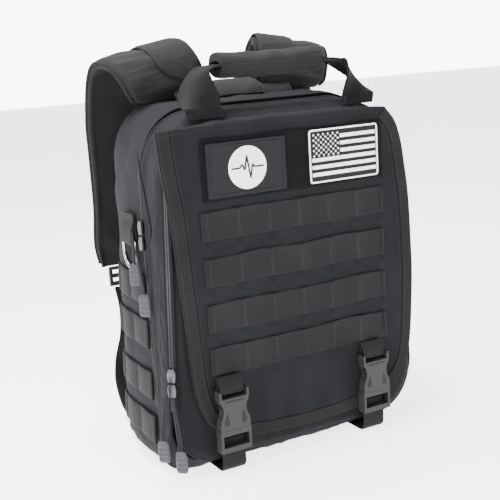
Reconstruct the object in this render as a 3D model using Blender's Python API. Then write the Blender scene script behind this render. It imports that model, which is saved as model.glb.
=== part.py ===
"""A webbing-covered first-aid backpack with a briefcase handle.

Run with: blender --background --python part.py
+X is to the right seen from the front, +Y from the front to the wearer's back,
+Z up.  The origin is on the ground at the middle of the flat underside.
"""
import math

import bmesh
import bpy
import numpy as np

MM = 0.001

# ---- Driving dimensions (metres) -------------------------------------------
CLEAR = 0.4 * MM              # gap that neighbouring pieces keep

LOW_HALF = 137 * MM           # half width of the bag near the ground
TOP_HALF = 127 * MM           # half width of the bag near the top
LOW_RADIUS = 18 * MM          # corner radius at the ground, seen from the front
COVER_RADIUS = 36 * MM        # the same on the cover, which is rounder
RIGHT_RADIUS = 52 * MM        # the low right corner has sagged rounder
TOP_RADIUS = 55 * MM          # corner radius at the top
WALL = 2.6 * MM               # padded fabric wall
BACK_Y = 72 * MM              # wearer's side of the main compartment
SEAM_LOW_Y = -48 * MM         # seam between the two compartments at the ground
SEAM_TOP_Y = -24 * MM         # the same seam at the top
SEAM_TOP_Z = 327 * MM
RIM_Y = -69.5 * MM            # open rim of the front compartment
COVER_BACK_Y = -70 * MM
COVER_FRONT_Y = -77.3 * MM
COVER_LOW_Z = 10 * MM
COVER_TOP_Z = 310 * MM
COVER_INSET = 7 * MM          # how far the cover's edge is inside the bag's side
FLAP_BACK_Y = -78 * MM
FLAP_FRONT_Y = -82 * MM
FLAP_TOP_Z = 316 * MM

ROW_HEIGHT = 26 * MM          # load webbing, one inch
ROW_HALF = 97 * MM
ROW_TOPS = (243 * MM, 202 * MM, 160 * MM, 119 * MM)
SIDE_ROW_TOPS = (183.5 * MM, 142 * MM, 94 * MM, 52 * MM)
SIDE_ROW_HEIGHT = 27 * MM
WEBBING = 1.6 * MM            # webbing thickness
STRAP_WIDTH = 25 * MM

BUCKLE_X = 78.5 * MM
BUCKLE_SHIFT = -3.5 * MM      # both buckles are sewn a little to the left
BUCKLE_FRONT_Y = -94.5 * MM
BUCKLE_BACK_Y = -85 * MM
PRONG_Y = 0.5 * (BUCKLE_FRONT_Y + BUCKLE_BACK_Y)

HANDLE_Y = -73.5 * MM         # where the handle's webbing is sewn down
HANDLE_Z = 321.5 * MM
GRIP_HALF = 53 * MM
GRIP_Y = -43 * MM
GRIP_Z = 366 * MM

STRAP_PIVOT_Y = 30 * MM       # shoulder straps are sewn to the yoke on top
STRAP_PIVOT_Z = 337.5 * MM

RING_Y = -3 * MM
RING_Z = 212 * MM
RING_WIRE = 1.75 * MM
RING_HALF = 14.5 * MM

MAIN_SLIDER_Z = (228 * MM, 214 * MM)
FRONT_SLIDER_Z = (101 * MM, 87 * MM)

CORNER_STEPS = 6

# ---- Colours ---------------------------------------------------------------
FABRIC = (0.035, 0.038, 0.043)
FABRIC_PALE = (0.055, 0.057, 0.060)
WEB = (0.045, 0.042, 0.044)
TAPE = (0.060, 0.056, 0.055)
PLASTIC = (0.13, 0.13, 0.135)
RUBBER = (0.06, 0.06, 0.07)
GREY_RUBBER = (0.28, 0.27, 0.32)
STEEL = (0.75, 0.75, 0.76)


def clear_scene():
    for old in list(bpy.data.objects):
        bpy.data.objects.remove(old, do_unlink=True)


def material(name, colour, roughness=0.85, metallic=0.0):
    made = bpy.data.materials.new(name)
    made.use_nodes = True
    shader = made.node_tree.nodes["Principled BSDF"]
    shader.inputs["Base Color"].default_value = (*colour, 1.0)
    shader.inputs["Roughness"].default_value = roughness
    shader.inputs["Metallic"].default_value = metallic
    made.diffuse_color = (*colour, 1.0)
    return made


def joint(name, origin, parent=None):
    """An empty on a joint's axis; what moves with the joint is its child."""
    empty = bpy.data.objects.new(name, None)
    empty.empty_display_size = 0.02
    bpy.context.collection.objects.link(empty)
    empty.parent = parent
    base = parent["origin"] if parent else (0.0, 0.0, 0.0)
    empty.location = [a - b for a, b in zip(origin, base)]
    empty["origin"] = list(origin)
    return empty


def solid(name, mesh_data, look, parent=None, smooth_angle=35):
    """One object from world-space vertices and faces, hung on its joint."""
    points, faces = mesh_data
    origin = np.array(parent["origin"]) if parent else np.zeros(3)
    mesh = bpy.data.meshes.new(name)
    mesh.from_pydata((np.asarray(points) - origin).tolist(), [], faces)
    shell = bmesh.new()
    shell.from_mesh(mesh)
    bmesh.ops.recalc_face_normals(shell, faces=shell.faces)
    shell.to_mesh(mesh)
    shell.free()
    mesh.shade_smooth()
    mesh.set_sharp_from_angle(angle=math.radians(smooth_angle))
    mesh.materials.append(look)
    made = bpy.data.objects.new(name, mesh)
    bpy.context.collection.objects.link(made)
    made.parent = parent
    return made


# ---- Surfaces --------------------------------------------------------------
def loft(rings, capped=True):
    """Skin a list of closed rings with the same number of points.

    Uncapped, the last ring joins the first, which makes a tube through.
    """
    count = len(rings[0])
    points = np.concatenate(rings)
    faces = []
    spans = len(rings) - 1 if capped else len(rings)
    for i in range(spans):
        a = i * count
        b = ((i + 1) % len(rings)) * count
        for k in range(count):
            n = (k + 1) % count
            faces.append((a + k, a + n, b + n, b + k))
    if capped:
        faces.append(tuple(range(count)))
        last = (len(rings) - 1) * count
        faces.append(tuple(range(last, last + count)))
    return points, faces


def outline(low_half, top_half, low_z, top_z, low_radius, top_radius, right_radius=None):
    """Rounded outline of the bag as (x, z) points, from bottom right round."""
    right = right_radius or low_radius
    lean = (low_half - top_half) * (right - low_radius) / (top_z - top_radius - low_radius - low_z)
    corners = (
        (low_half - lean - right, low_z + right, right, -90),
        (top_half - top_radius, top_z - top_radius, top_radius, 0),
        (top_radius - top_half, top_z - top_radius, top_radius, 90),
        (low_radius - low_half, low_z + low_radius, low_radius, 180),
    )
    points = []
    for x, z, radius, start in corners:
        for step in range(CORNER_STEPS + 1):
            angle = math.radians(start + 90 * step / CORNER_STEPS)
            points.append((x + radius * math.cos(angle), z + radius * math.sin(angle)))
    return np.array(points)


def bag_outline(inset, low_z, top_z, low_radius=LOW_RADIUS):
    """The bag's outline moved in by inset all round, between two heights."""
    return outline(LOW_HALF - inset, TOP_HALF - inset, low_z, top_z,
                   max(low_radius - inset, 12 * MM), max(TOP_RADIUS - inset, 12 * MM),
                   max(RIGHT_RADIUS - inset, 12 * MM))


def side_half(z, inset=0.0):
    """Half width of the bag at a height between its two side corners."""
    low = LOW_RADIUS
    high = SEAM_TOP_Z - TOP_RADIUS
    share = min(max((z - low) / (high - low), 0.0), 1.0)
    return LOW_HALF + (TOP_HALF - LOW_HALF) * share - inset


def seam_y(z):
    """The slanted seam between the two compartments."""
    return SEAM_LOW_Y + (SEAM_TOP_Y - SEAM_LOW_Y) * np.asarray(z) / SEAM_TOP_Z


def ring_at(flat, y):
    """Stand an (x, z) outline up at y, one value or one for each point."""
    ring = np.zeros((len(flat), 3))
    ring[:, 0] = flat[:, 0]
    ring[:, 1] = y
    ring[:, 2] = flat[:, 1]
    return ring


def tangents(path):
    ahead = np.gradient(path, axis=0)
    return ahead / np.linalg.norm(ahead, axis=1)[:, None]


def ribbon(path, across, half_width, half_thick, bevel=0.0):
    """A flat strip: path is its middle, across its width direction."""
    path = np.asarray(path, float)
    across = np.broadcast_to(np.asarray(across, float), path.shape)
    across = across / np.linalg.norm(across, axis=1)[:, None]
    normal = np.cross(tangents(path), across)
    normal = normal / np.linalg.norm(normal, axis=1)[:, None]
    wide = np.broadcast_to(half_width, len(path))
    thick = np.broadcast_to(half_thick, len(path))
    rings = []
    for i, centre in enumerate(path):
        w, t = wide[i], thick[i]
        b = min(bevel, 0.7 * t, 0.7 * w)
        if b:
            corners = ((w - b, t), (w, t - b), (w, b - t), (w - b, -t),
                       (b - w, -t), (-w, b - t), (-w, t - b), (b - w, t))
        else:
            corners = ((w, t), (w, -t), (-w, -t), (-w, t))
        rings.append([centre + a * across[i] + n * normal[i] for a, n in corners])
    return loft(rings)


def smooth_path(points, count):
    """A Catmull-Rom curve through the points, with count points on it."""
    points = np.asarray(points, float)
    padded = np.vstack([2 * points[0] - points[1], points, 2 * points[-1] - points[-2]])
    made = []
    for t in np.linspace(0, len(points) - 1, count):
        i = min(int(t), len(points) - 2)
        u = t - i
        a, b, c, d = padded[i:i + 4]
        made.append(0.5 * (2 * b + (c - a) * u + (2 * a - 5 * b + 4 * c - d) * u ** 2
                           + (3 * b - a - 3 * c + d) * u ** 3))
    return np.array(made)


def plate(flat, front_y, back_y, round_by=1.0 * MM):
    """A panel from an (x, z) outline, its front edge eased over round_by."""
    middle = flat.mean(axis=0)
    shrink = 1 - round_by / np.abs(flat - middle).max()
    eased = middle + (flat - middle) * shrink
    return loft([ring_at(flat, back_y), ring_at(flat, front_y + round_by), ring_at(eased, front_y)])


def box(low, high):
    x0, y0, z0 = low
    x1, y1, z1 = high
    ends = []
    for z in (z0, z1):
        ends.append(np.array([(x0, y0, z), (x1, y0, z), (x1, y1, z), (x0, y1, z)]))
    return loft(ends)


def mirrored(points, side):
    """The right-hand points for side +1, or their mirror image for side -1."""
    return np.asarray(points, float) * np.array([side, 1, 1])


def boolean(target, other, operation):
    """Join another solid to the target, or cut it out."""
    other.hide_render = True
    other.display_type = "WIRE"
    change = target.modifiers.new(operation.lower(), "BOOLEAN")
    change.operation = operation
    change.solver = "EXACT"
    change.object = other


# ---- Main compartment ------------------------------------------------------
REAR_STATIONS = (             # y, inset of the outline, height of the top
    (10 * MM, 0.0, 333 * MM),
    (30 * MM, 1.5 * MM, 333.5 * MM),
    (45 * MM, 5 * MM, 333.5 * MM),
    (58 * MM, 12 * MM, 331 * MM),
    (67 * MM, 21 * MM, 326 * MM),
    (72 * MM, 32 * MM, 317 * MM),
)


def rear_compartment(look):
    """A tub, open towards the seam, with a rounded wearer's side."""
    rim = bag_outline(0, 0, SEAM_TOP_Z)
    outer = [ring_at(rim, seam_y(rim[:, 1]) + CLEAR / 2)]
    for y, inset, top in REAR_STATIONS:
        outer.append(ring_at(bag_outline(inset, 0.4 * inset, top), y))
    inner_rim = bag_outline(WALL, WALL, SEAM_TOP_Z - WALL)
    inner = [ring_at(inner_rim, seam_y(inner_rim[:, 1]) + CLEAR / 2)]
    for y, inset, top in REAR_STATIONS[:-1]:
        flat = bag_outline(inset + WALL, 0.4 * inset + WALL, top - WALL)
        inner.append(ring_at(flat, y - 0.5 * WALL))
    return solid("rear_compartment", loft(outer[::-1] + inner), look)


def rear_side_path(start_y, end_y, z, off):
    """Points along the bag's right side at one height, off its surface."""
    stations = [(start_y, 0.0)]
    stations += [(y, inset) for y, inset, _ in REAR_STATIONS if start_y < y < end_y]
    points = np.array([(side_half(z, inset) + off, y, z) for y, inset in stations])
    last = points[-1] + (points[-1] - points[-2]) * 0.4
    return np.vstack([points, last])


def side_webbing(side, name, look):
    """The load webbing rows on one side of the bag."""
    off = WEBBING / 2 + CLEAR + 0.3 * MM
    for number, top in enumerate(SIDE_ROW_TOPS, start=1):
        z = top - SIDE_ROW_HEIGHT / 2
        start = float(seam_y(z)) + 4 * MM
        round_low = side > 0 and top < RIGHT_RADIUS + CLEAR
        path = rear_side_path(start, 46 * MM, z, off - (1.2 * MM if round_low else 0))
        lean = (LOW_HALF - TOP_HALF) / (SEAM_TOP_Z - TOP_RADIUS - LOW_RADIUS)
        if round_low:
            lean = -0.24
        data = ribbon(mirrored(path, side), (-lean * side, 0, 1), SIDE_ROW_HEIGHT / 2, WEBBING / 2)
        solid(f"side_webbing_{name}_{number}", data, look)


def frame_sheet(look):
    """The stiffening sheet that stands against the inside of the back."""
    flat = outline(88 * MM, 86 * MM, 18 * MM, 300 * MM, 20 * MM, 30 * MM)
    solid("frame_sheet", plate(flat, 60.5 * MM, 62.5 * MM, 0.3 * MM), look)


def back_pad(look):
    flat = outline(98 * MM, 94 * MM, 36 * MM, 296 * MM, 24 * MM, 30 * MM)
    shrunk = outline(90 * MM, 86 * MM, 44 * MM, 288 * MM, 18 * MM, 24 * MM)
    rings = [ring_at(flat, BACK_Y + CLEAR), ring_at(flat, BACK_Y + 5 * MM), ring_at(shrunk, BACK_Y + 10 * MM)]
    solid("back_pad", loft(rings), look)


def strap_yoke(look):
    """The doubled panel on the top that the shoulder straps are sewn to."""
    low = (-64 * MM, 12 * MM, 333.5 * MM + CLEAR)
    high = (64 * MM, 44 * MM, 336.8 * MM)
    solid("strap_yoke", box(low, high), look)


# ---- Shoulder straps -------------------------------------------------------
STRAP_ROUTE = (               # x, y, z and half width of the right-hand strap
    (67, 31, 338.6, 38),
    (69, 28, 347, 40),
    (74, 33, 363, 42),
    (80, 45, 377, 43),
    (86, 64, 379, 43),
    (88, 82, 362, 42),
    (90, 94, 325, 40),
    (92, 100, 275, 36),
    (95, 104, 228, 32),
    (99, 109, 190, 29),
    (100, 110, 165, 24),
)


def strap_route(count):
    made = smooth_path(STRAP_ROUTE, count) * MM
    return made[:, :3], made[:, 3]


def strap_across(path):
    """Width direction: level, but the inner edge stands higher over the crest."""
    tip = 0.16 * np.clip((path[:, 2] - 300 * MM) / (30 * MM), 0, 1)
    across = np.zeros_like(path)
    across[:, 0] = 1
    across[:, 2] = -tip
    return across


def shoulder_strap(side, name, looks):
    pivot = joint(f"strap_{name}_pivot", (side * 58 * MM, STRAP_PIVOT_Y, STRAP_PIVOT_Z))
    path, half = strap_route(20)
    across = mirrored(strap_across(path), side)
    thick = np.full(len(path), 4 * MM)
    thick[[0, -1]] = 2.2 * MM
    data = ribbon(mirrored(path, side), across, half, thick, 2 * MM)
    solid(f"shoulder_strap_{name}", data, looks["fabric_pale"], pivot)

    path, half = strap_route(40)
    path = path[5:24]
    half = half[5:24]
    across = strap_across(path)
    ahead = tangents(path)
    out = np.cross(across, ahead)
    out = out / np.linalg.norm(out, axis=1)[:, None]
    path = path + out * (4 * MM + CLEAR + 1.2 * MM) - across * (0.46 * half)[:, None]
    width = 0.50 * half
    width[:3] *= (0.45, 0.75, 0.93)
    data = ribbon(mirrored(path, side), mirrored(across, side), width, 1.2 * MM)
    solid(f"strap_overlay_{name}", data, looks["fabric_pale"], pivot)
    return pivot


def adjuster(side, name, parent, looks):
    """The ladder-lock frame at the strap's end, tipped up to let webbing run."""
    x, y = side * 100 * MM, 110 * MM
    pivot = joint(f"adjuster_{name}_pivot", (x, y, 162 * MM), parent)
    half = 16 * MM
    frame = solid(f"adjuster_{name}", box((x - half, y - 1.9 * MM, 143 * MM), (x + half, y + 1.9 * MM, 163 * MM)),
                  looks["plastic"], pivot)
    for number, z in enumerate((147 * MM, 155.5 * MM), start=1):
        data = box((x - 12.8 * MM, y - 5 * MM, z), (x + 12.8 * MM, y + 5 * MM, z + 4.6 * MM))
        boolean(frame, solid(f"adjuster_{name}_slot_{number}", data, looks["plastic"], pivot), "DIFFERENCE")


def lower_webbing(side, name, looks):
    """The webbing from the low rear corner up to the adjuster."""
    route = ((112, 73.6, 14), (112, 88, 22), (111, 102, 42), (108, 103, 66), (104, 93, 96), (101, 97, 122), (100, 108, 141.5))
    path = smooth_path(route, 16) * MM
    data = ribbon(mirrored(path, side), (1, 0, 0), STRAP_WIDTH / 2, WEBBING / 2)
    solid(f"lower_webbing_{name}", data, looks["webbing"])


# ---- D-rings ---------------------------------------------------------------
def ring_x():
    return side_half(RING_Z) + 3.9 * MM


def ring_tab(side, name, looks):
    """A short webbing loop folded round the D-ring's straight bar."""
    x = ring_x()
    turn = RING_WIRE + 0.4 * MM + 0.6 * MM
    angles = np.radians(np.linspace(0, 180, 7))
    path = [(x - turn, 26 * MM), (x - turn, 12 * MM)]
    path += [(x - turn * math.cos(a), -turn * math.sin(a)) for a in angles]
    path += [(x + turn, 5 * MM), (x + 1.5 * MM, 13 * MM), (x - 0.9 * MM, 19 * MM), (x - 0.9 * MM, 26 * MM)]
    points = np.array([(px, RING_Y, RING_Z + pz) for px, pz in path])
    solid(f"ring_tab_{name}", ribbon(mirrored(points, side), (0, 1, 0), 12.2 * MM, 0.6 * MM), looks["webbing"])


def d_ring(side, name, looks):
    x = ring_x()
    pivot = joint(f"ring_{name}_pivot", (side * x, RING_Y, RING_Z))
    drop = 11 * MM
    path = [(-0.5 * RING_HALF, 0), (0.5 * RING_HALF, 0), (RING_HALF - 1 * MM, -0.3 * MM), (RING_HALF, -2.5 * MM)]
    for angle in np.radians(np.linspace(0, -180, 15)):
        path.append((RING_HALF * math.cos(angle), -drop + RING_HALF * math.sin(angle)))
    path += [(-RING_HALF, -2.5 * MM), (1 * MM - RING_HALF, -0.3 * MM)]
    path = np.array(path)
    ahead = np.roll(path, -1, axis=0) - np.roll(path, 1, axis=0)
    ahead = ahead / np.linalg.norm(ahead, axis=1)[:, None]
    rings = []
    for (y, z), (ty, tz) in zip(path, ahead):
        ring = []
        for angle in np.radians(np.arange(0, 360, 45)):
            out = RING_WIRE * math.cos(angle)
            ring.append((side * (x + RING_WIRE * math.sin(angle)), RING_Y + y + tz * out, RING_Z + z - ty * out))
        rings.append(ring)
    solid(f"d_ring_{name}", loft(rings, capped=False), looks["steel"], pivot, 60)


# ---- Front compartment -----------------------------------------------------
FRONT_STATIONS = (            # y, inset, height of the underside, height of the top, low radius
    (-55 * MM, 0.0, 0.8 * MM, 324.5 * MM, 24 * MM),
    (-62 * MM, 0.3 * MM, 3.5 * MM, 323 * MM, 32 * MM),
    (RIM_Y, 0.8 * MM, 9.5 * MM, 319 * MM, 40 * MM),
)


def front_compartment(looks, parent):
    """A shallow tub behind the cover; its back wall lies on the seam."""
    low = 0.6 * MM
    back = bag_outline(0, low, SEAM_TOP_Z)
    outer = [ring_at(back, seam_y(back[:, 1]) - CLEAR / 2)]
    for y, inset, bottom, top, radius in FRONT_STATIONS:
        outer.append(ring_at(bag_outline(inset, bottom, top, radius), y))
    inner_back = bag_outline(WALL, low + WALL, SEAM_TOP_Z - WALL)
    inner = [ring_at(inner_back, seam_y(inner_back[:, 1]) - CLEAR / 2 - WALL)]
    for y, inset, bottom, top, radius in FRONT_STATIONS:
        inner.append(ring_at(bag_outline(inset + WALL, bottom + WALL, top - WALL, radius), y))
    return solid("front_compartment", loft(outer + inner[::-1]), looks["fabric"], parent)


def arch(inset, low_start, top_z, step_count=8):
    """Right side, top and left side of the bag as (x, z) points and normals."""
    flat = bag_outline(inset, 0, top_z)
    right = flat[CORNER_STEPS + 1:2 * CORNER_STEPS + 2]
    left = flat[2 * CORNER_STEPS + 2:3 * CORNER_STEPS + 3]
    start = (side_half(low_start, inset), low_start)
    rise = [np.array(start) + (right[0] - start) * i / step_count for i in range(step_count)]
    points = np.vstack([rise, right, left, [(-x, z) for x, z in rise[::-1]]])
    ahead = tangents(points)
    return points, np.stack([ahead[:, 1], -ahead[:, 0]], axis=1)


def arch_strip(flat, normals, profile, y):
    """Carry a profile of (outward, y) points round an arch."""
    rings = []
    for i in range(len(flat)):
        ring = []
        for out, step in profile:
            spot = flat[i] + normals[i] * out
            ring.append((spot[0], y[i] + step, spot[1]))
        rings.append(ring)
    return loft(rings)


def main_zip(looks, parent):
    """Coil and tape over the seam of the main compartment."""
    flat, normals = arch(0, 62 * MM, SEAM_TOP_Z)
    low, high, half = CLEAR + 0.2 * MM, 1.9 * MM, 3 * MM
    profile = ((low, -half), (high, -0.6 * half), (high, 0.6 * half), (low, half))
    solid("main_zip", arch_strip(flat, normals, profile, seam_y(flat[:, 1])), looks["coil"], parent)


# ---- Cover and its zip -----------------------------------------------------
def front_cover(looks, parent):
    flat = bag_outline(COVER_INSET, COVER_LOW_Z, COVER_TOP_Z, COVER_RADIUS)
    eased = bag_outline(COVER_INSET + 2.5 * MM, COVER_LOW_Z + 2.5 * MM, COVER_TOP_Z - 2.5 * MM, COVER_RADIUS)
    rings = [ring_at(flat, COVER_BACK_Y), ring_at(flat, COVER_FRONT_Y + 2.5 * MM), ring_at(eased, COVER_FRONT_Y)]
    solid("front_cover", loft(rings), looks["fabric"], parent)


ZIP_OUT = 4.4 * MM            # middle of the front zip, outside the cover's edge
ZIP_Y = -73.6 * MM
ZIP_HALF = 4.2 * MM


def front_zip(looks, parent):
    """Toothed zip that lies slantwise on the front corner of the bag."""
    flat, normals = arch(COVER_INSET, 66 * MM, COVER_TOP_Z)
    reach = ZIP_HALF * math.sqrt(0.5)
    thick = 0.8 * MM * math.sqrt(0.5)
    profile = (
        (ZIP_OUT + reach + thick, reach - thick),
        (ZIP_OUT + reach - thick, reach + thick),
        (ZIP_OUT - reach - thick, thick - reach),
        (ZIP_OUT - reach + thick, -reach - thick),
    )
    solid("front_zip", arch_strip(flat, normals, profile, np.full(len(flat), ZIP_Y)), looks["teeth"], parent)


def buckle_x(side):
    return side * BUCKLE_X + BUCKLE_SHIFT


def closure_webbing(side, name, looks, parent):
    """The strap that runs down from a buckle to the ground and turns back."""
    straight = (BUCKLE_FRONT_Y + 8 * MM) / MM
    route = ((straight, 34), (straight, 26), (straight, 18), (straight, 11), (straight + 0.6, 5.6),
             (straight + 3.6, 2.2), (straight + 8, 1.2), (straight + 14.5, 1.2))
    path = smooth_path([(buckle_x(side) / MM, y, z) for y, z in route], 22) * MM
    data = ribbon(path, (1, 0, 0), STRAP_WIDTH / 2, 0.7 * MM)
    solid(f"closure_webbing_{name}", data, looks["webbing"], parent)


# ---- Flap ------------------------------------------------------------------
FLAP_LEFT = (                 # left edge of the flap, top to bottom, x and z
    (-133, FLAP_TOP_Z / MM), (-130, 280), (-125, 245), (-122.5, 207), (-119, 150), (-116, 98), (-112, 72),
    (-104, 52), (-92, 39), (-74, 30.5), (-50, 26.5), (-24, 24.5), (0, 24),
)
FLAP_RIGHT = (                # its right edge, where the top corner is cut round
    (104, FLAP_TOP_Z / MM), (114, 304), (120, 287), (124, 264), (128.5, 224), (130.3, 163), (128, 98),
    (121, 64), (110, 47), (97, 37), (76, 29), (50, 25.5), (24, 24.3), (0, 24),
)


def flap_side(edge, hand, inset):
    """One edge of the flap, moved in by inset."""
    line = smooth_path(edge, 24) * MM
    ahead = tangents(line)
    inward = np.stack([ahead[:, 1], -ahead[:, 0]], axis=1) * hand
    inward[0] = (-hand, 0)
    inward[-1] = (0, 1)
    return line + inward * inset


def flap_outline(inset=0.0):
    """Closed outline, or with an inset the line that far inside its edge."""
    right = flap_side(FLAP_RIGHT, 1, inset)
    left = flap_side(FLAP_LEFT, -1, inset)
    return np.vstack([right, left[:-1][::-1]])


def flap_panel(looks, parent):
    flat = flap_outline()
    solid("flap", plate(flat, FLAP_FRONT_Y, FLAP_BACK_Y, 1.0 * MM), looks["fabric"], parent)


def flap_binding(looks, parent):
    """The woven tape sewn round the flap's free edges."""
    outer = flap_outline(1.2 * MM)
    inner = flap_outline(12 * MM)
    front, back = FLAP_FRONT_Y - CLEAR - 0.8 * MM, FLAP_FRONT_Y - CLEAR
    rings = []
    for o, i in zip(outer, inner):
        rings.append([(o[0], back, o[1]), (o[0], front, o[1]), (i[0], front, i[1]), (i[0], back, i[1])])
    solid("flap_binding", loft(rings), looks["tape"], parent)


def loop_field(looks, parent):
    back = FLAP_FRONT_Y - CLEAR
    low = (-93 * MM, back - 1.1 * MM, 251 * MM)
    solid("loop_field", box(low, (97 * MM, back, 306 * MM)), looks["loop"], parent)


def patch(name, low_x, high_x, low_z, high_z, look, parent):
    middle_x, middle_z = 0.5 * (low_x + high_x), 0.5 * (low_z + high_z)
    back = FLAP_FRONT_Y - CLEAR - 1.1 * MM - CLEAR
    half_x, half_z = 0.5 * (high_x - low_x), 0.5 * (high_z - low_z)
    flat = outline(half_x, half_x, -half_z, half_z, 2.5 * MM, 2.5 * MM) + (middle_x, middle_z)
    solid(name, plate(flat, back - 2.4 * MM, back, 0.7 * MM), look, parent)


def load_row(number, top, looks, parent):
    back = FLAP_FRONT_Y - CLEAR
    low = (-ROW_HALF, back - 1.8 * MM, top - ROW_HEIGHT)
    solid(f"load_webbing_{number}", box(low, (ROW_HALF, back, top)), looks["webbing"], parent)


def buckle_webbing(side, name, looks, parent):
    """Webbing sewn under the lowest row and looped round the buckle's bar."""
    route = ((-83.5, 92.2), (-84.0, 88), (-85.4, 83), (-86.1, 80), (-86.2, 78.2), (-87.1, 77), (-88.4, 76.7),
             (-89.7, 77), (-90.6, 78.2), (-90.7, 80), (-90.2, 83.5), (-87.8, 88.5), (-85.4, 92.2))
    path = smooth_path([(buckle_x(side) / MM, y, z) for y, z in route], 26) * MM
    solid(f"buckle_webbing_{name}", ribbon(path, (1, 0, 0), 12 * MM, 0.55 * MM), looks["webbing"], parent)


def buckle_female(side, name, looks, parent):
    """Waisted socket half: horns and bar on top, mouth below, side windows."""
    half = ((0, 44.3), (15, 44.3), (15.2, 49), (14.2, 54), (12.2, 58.4), (11.4, 62.8), (12.2, 67.2), (14.4, 71.2),
            (15, 75), (15, 81), (12.9, 81), (12.6, 74), (0, 74))
    right = np.array(half) * MM
    flat = np.vstack([right, right[1:-1][::-1] * (-1, 1)]) + (buckle_x(side), 0)
    front, back = BUCKLE_FRONT_Y, BUCKLE_BACK_Y
    body = solid(f"buckle_female_{name}", loft([ring_at(flat, back), ring_at(flat, front)]), looks["plastic"], parent)
    x = buckle_x(side)
    bar = box((x - 14 * MM, -89.5 * MM, 78.1 * MM), (x + 14 * MM, -87.2 * MM, 80.5 * MM))
    boolean(body, solid(f"buckle_bar_{name}", bar, looks["plastic"], parent), "UNION")
    hollow = box((x - 13 * MM, PRONG_Y - 3 * MM, 35 * MM), (x + 13 * MM, PRONG_Y + 3 * MM, 69 * MM))
    boolean(body, solid(f"buckle_hollow_{name}", hollow, looks["plastic"], parent), "DIFFERENCE")


def buckle_male(side, name, looks, parent):
    """Ladder frame threaded on the strap; it slides to take up slack."""
    x = buckle_x(side)
    slide = joint(f"buckle_male_{name}_slide", (x, PRONG_Y, 33 * MM), parent)
    front, back = -94 * MM, -83.6 * MM
    frame = solid(f"buckle_male_{name}", box((x - 15.4 * MM, front, 22.5 * MM), (x + 15.4 * MM, back, 43.9 * MM)),
                  looks["plastic"], slide)
    cuts = (
        ((x - 13 * MM, -87.6 * MM, 10 * MM), (x + 13 * MM, -85.3 * MM, 60 * MM)),
        ((x - 13 * MM, -99 * MM, 27.5 * MM), (x + 13 * MM, -86 * MM, 38.5 * MM)),
        ((x - 13 * MM, -86 * MM, 36 * MM), (x + 13 * MM, -80 * MM, 60 * MM)),
        ((x - 13 * MM, -86 * MM, 10 * MM), (x + 13 * MM, -80 * MM, 29 * MM)),
    )
    for number, (low, high) in enumerate(cuts, start=1):
        boolean(frame, solid(f"male_{name}_cut_{number}", box(low, high), looks["plastic"], slide), "DIFFERENCE")
    for hand, where in ((-1, "a"), (1, "b")):
        pivot = joint(f"prong_{name}_{where}_pivot", (x + hand * 10 * MM, PRONG_Y, 44.8 * MM), slide)
        half = ((7.6, 44.3), (12.1, 44.3), (11.4, 51), (12.4, 56), (12.4, 60.5), (10.4, 64.5), (8.6, 64.5), (8.2, 55))
        flat = np.array(half) * MM * (hand, 1) + (x, 0)
        data = loft([ring_at(flat, PRONG_Y + 2.1 * MM), ring_at(flat, PRONG_Y - 2.1 * MM)])
        solid(f"prong_{name}_{where}", data, looks["plastic"], pivot)


# ---- Handle ----------------------------------------------------------------
def handle(looks, parent):
    """Webbing that bows out of the seam and runs through a fabric sleeve."""
    pivot = joint("handle_pivot", (0, HANDLE_Y, HANDLE_Z), parent)
    route = ((78, -73.2, 322.2), (81, -70, 331), (83, -64, 343), (80, -55, 355), (68, -47, 363.5), (52, -43.4, 365.8))
    leg = smooth_path(route, 13) * MM
    share = np.linspace(0, 1, len(leg))
    turn = np.clip((share - 0.2) / 0.6, 0, 1) * math.pi / 2
    across = np.stack([np.cos(turn), np.sin(turn), -0.5 * np.sin(2 * turn)], axis=1)
    wide = np.interp(share, (0, 0.7, 0.9, 1), (18, 17, 9, 8.6)) * MM
    left = leg * (-1, 1, 1)
    left_across = across * (1, -1, 1) * (1, 1, -1)
    path = np.vstack([left, leg[::-1]])
    sides = np.vstack([left_across, across[::-1] * (1, -1, 1) * (-1, 1, 1)])
    sides[len(leg):] = across[::-1] * (-1, -1, -1)
    widths = np.concatenate([wide, wide[::-1]])
    solid("handle_webbing", ribbon(path, sides, widths, 1.2 * MM), looks["webbing"], pivot)

    angles = np.radians(np.arange(0, 360, 22.5))
    ring = np.stack([np.zeros(16), np.cos(angles), np.sin(angles)], axis=1)
    outer, inner = ring * (0, 13 * MM, 11 * MM), ring * (0, 10.6 * MM, 3.8 * MM)
    rings = []
    for x, swell in ((-GRIP_HALF, 0.93), (-35 * MM, 1.0), (0, 1.03), (35 * MM, 1.0), (GRIP_HALF, 0.93)):
        rings.append(outer * swell + (x, GRIP_Y, GRIP_Z))
    for x in (GRIP_HALF, -GRIP_HALF):
        rings.append(inner + (x, GRIP_Y, GRIP_Z))
    solid("handle_grip", loft(rings, capped=False), looks["fabric"], pivot)


# ---- Zip sliders and pulls -------------------------------------------------
def slider(name, spot, along, out, looks, parent):
    """A slider on its zip, and the pull that hangs from it."""
    along = np.array(along) / np.linalg.norm(along)
    out = np.array(out) / np.linalg.norm(out)
    run = joint(f"{name}_run", tuple(spot), parent)
    rise = np.array((0.0, 6.0, 9.0, 12.0)) * MM - 6 * MM
    path = np.array([spot + along * r + out * 1.5 * MM for r in rise])
    across = np.cross(along, out)
    data = ribbon(path, across, np.array((3.2, 4.0, 3.8, 2.6)) * MM, np.array((1.2, 1.5, 1.5, 1.2)) * MM, 0.6 * MM)
    solid(f"{name}_slider", data, looks["plated"], run)
    return run, out


PULL_OUT = 8.6 * MM           # a pull hangs clear of the slider below it


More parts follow.
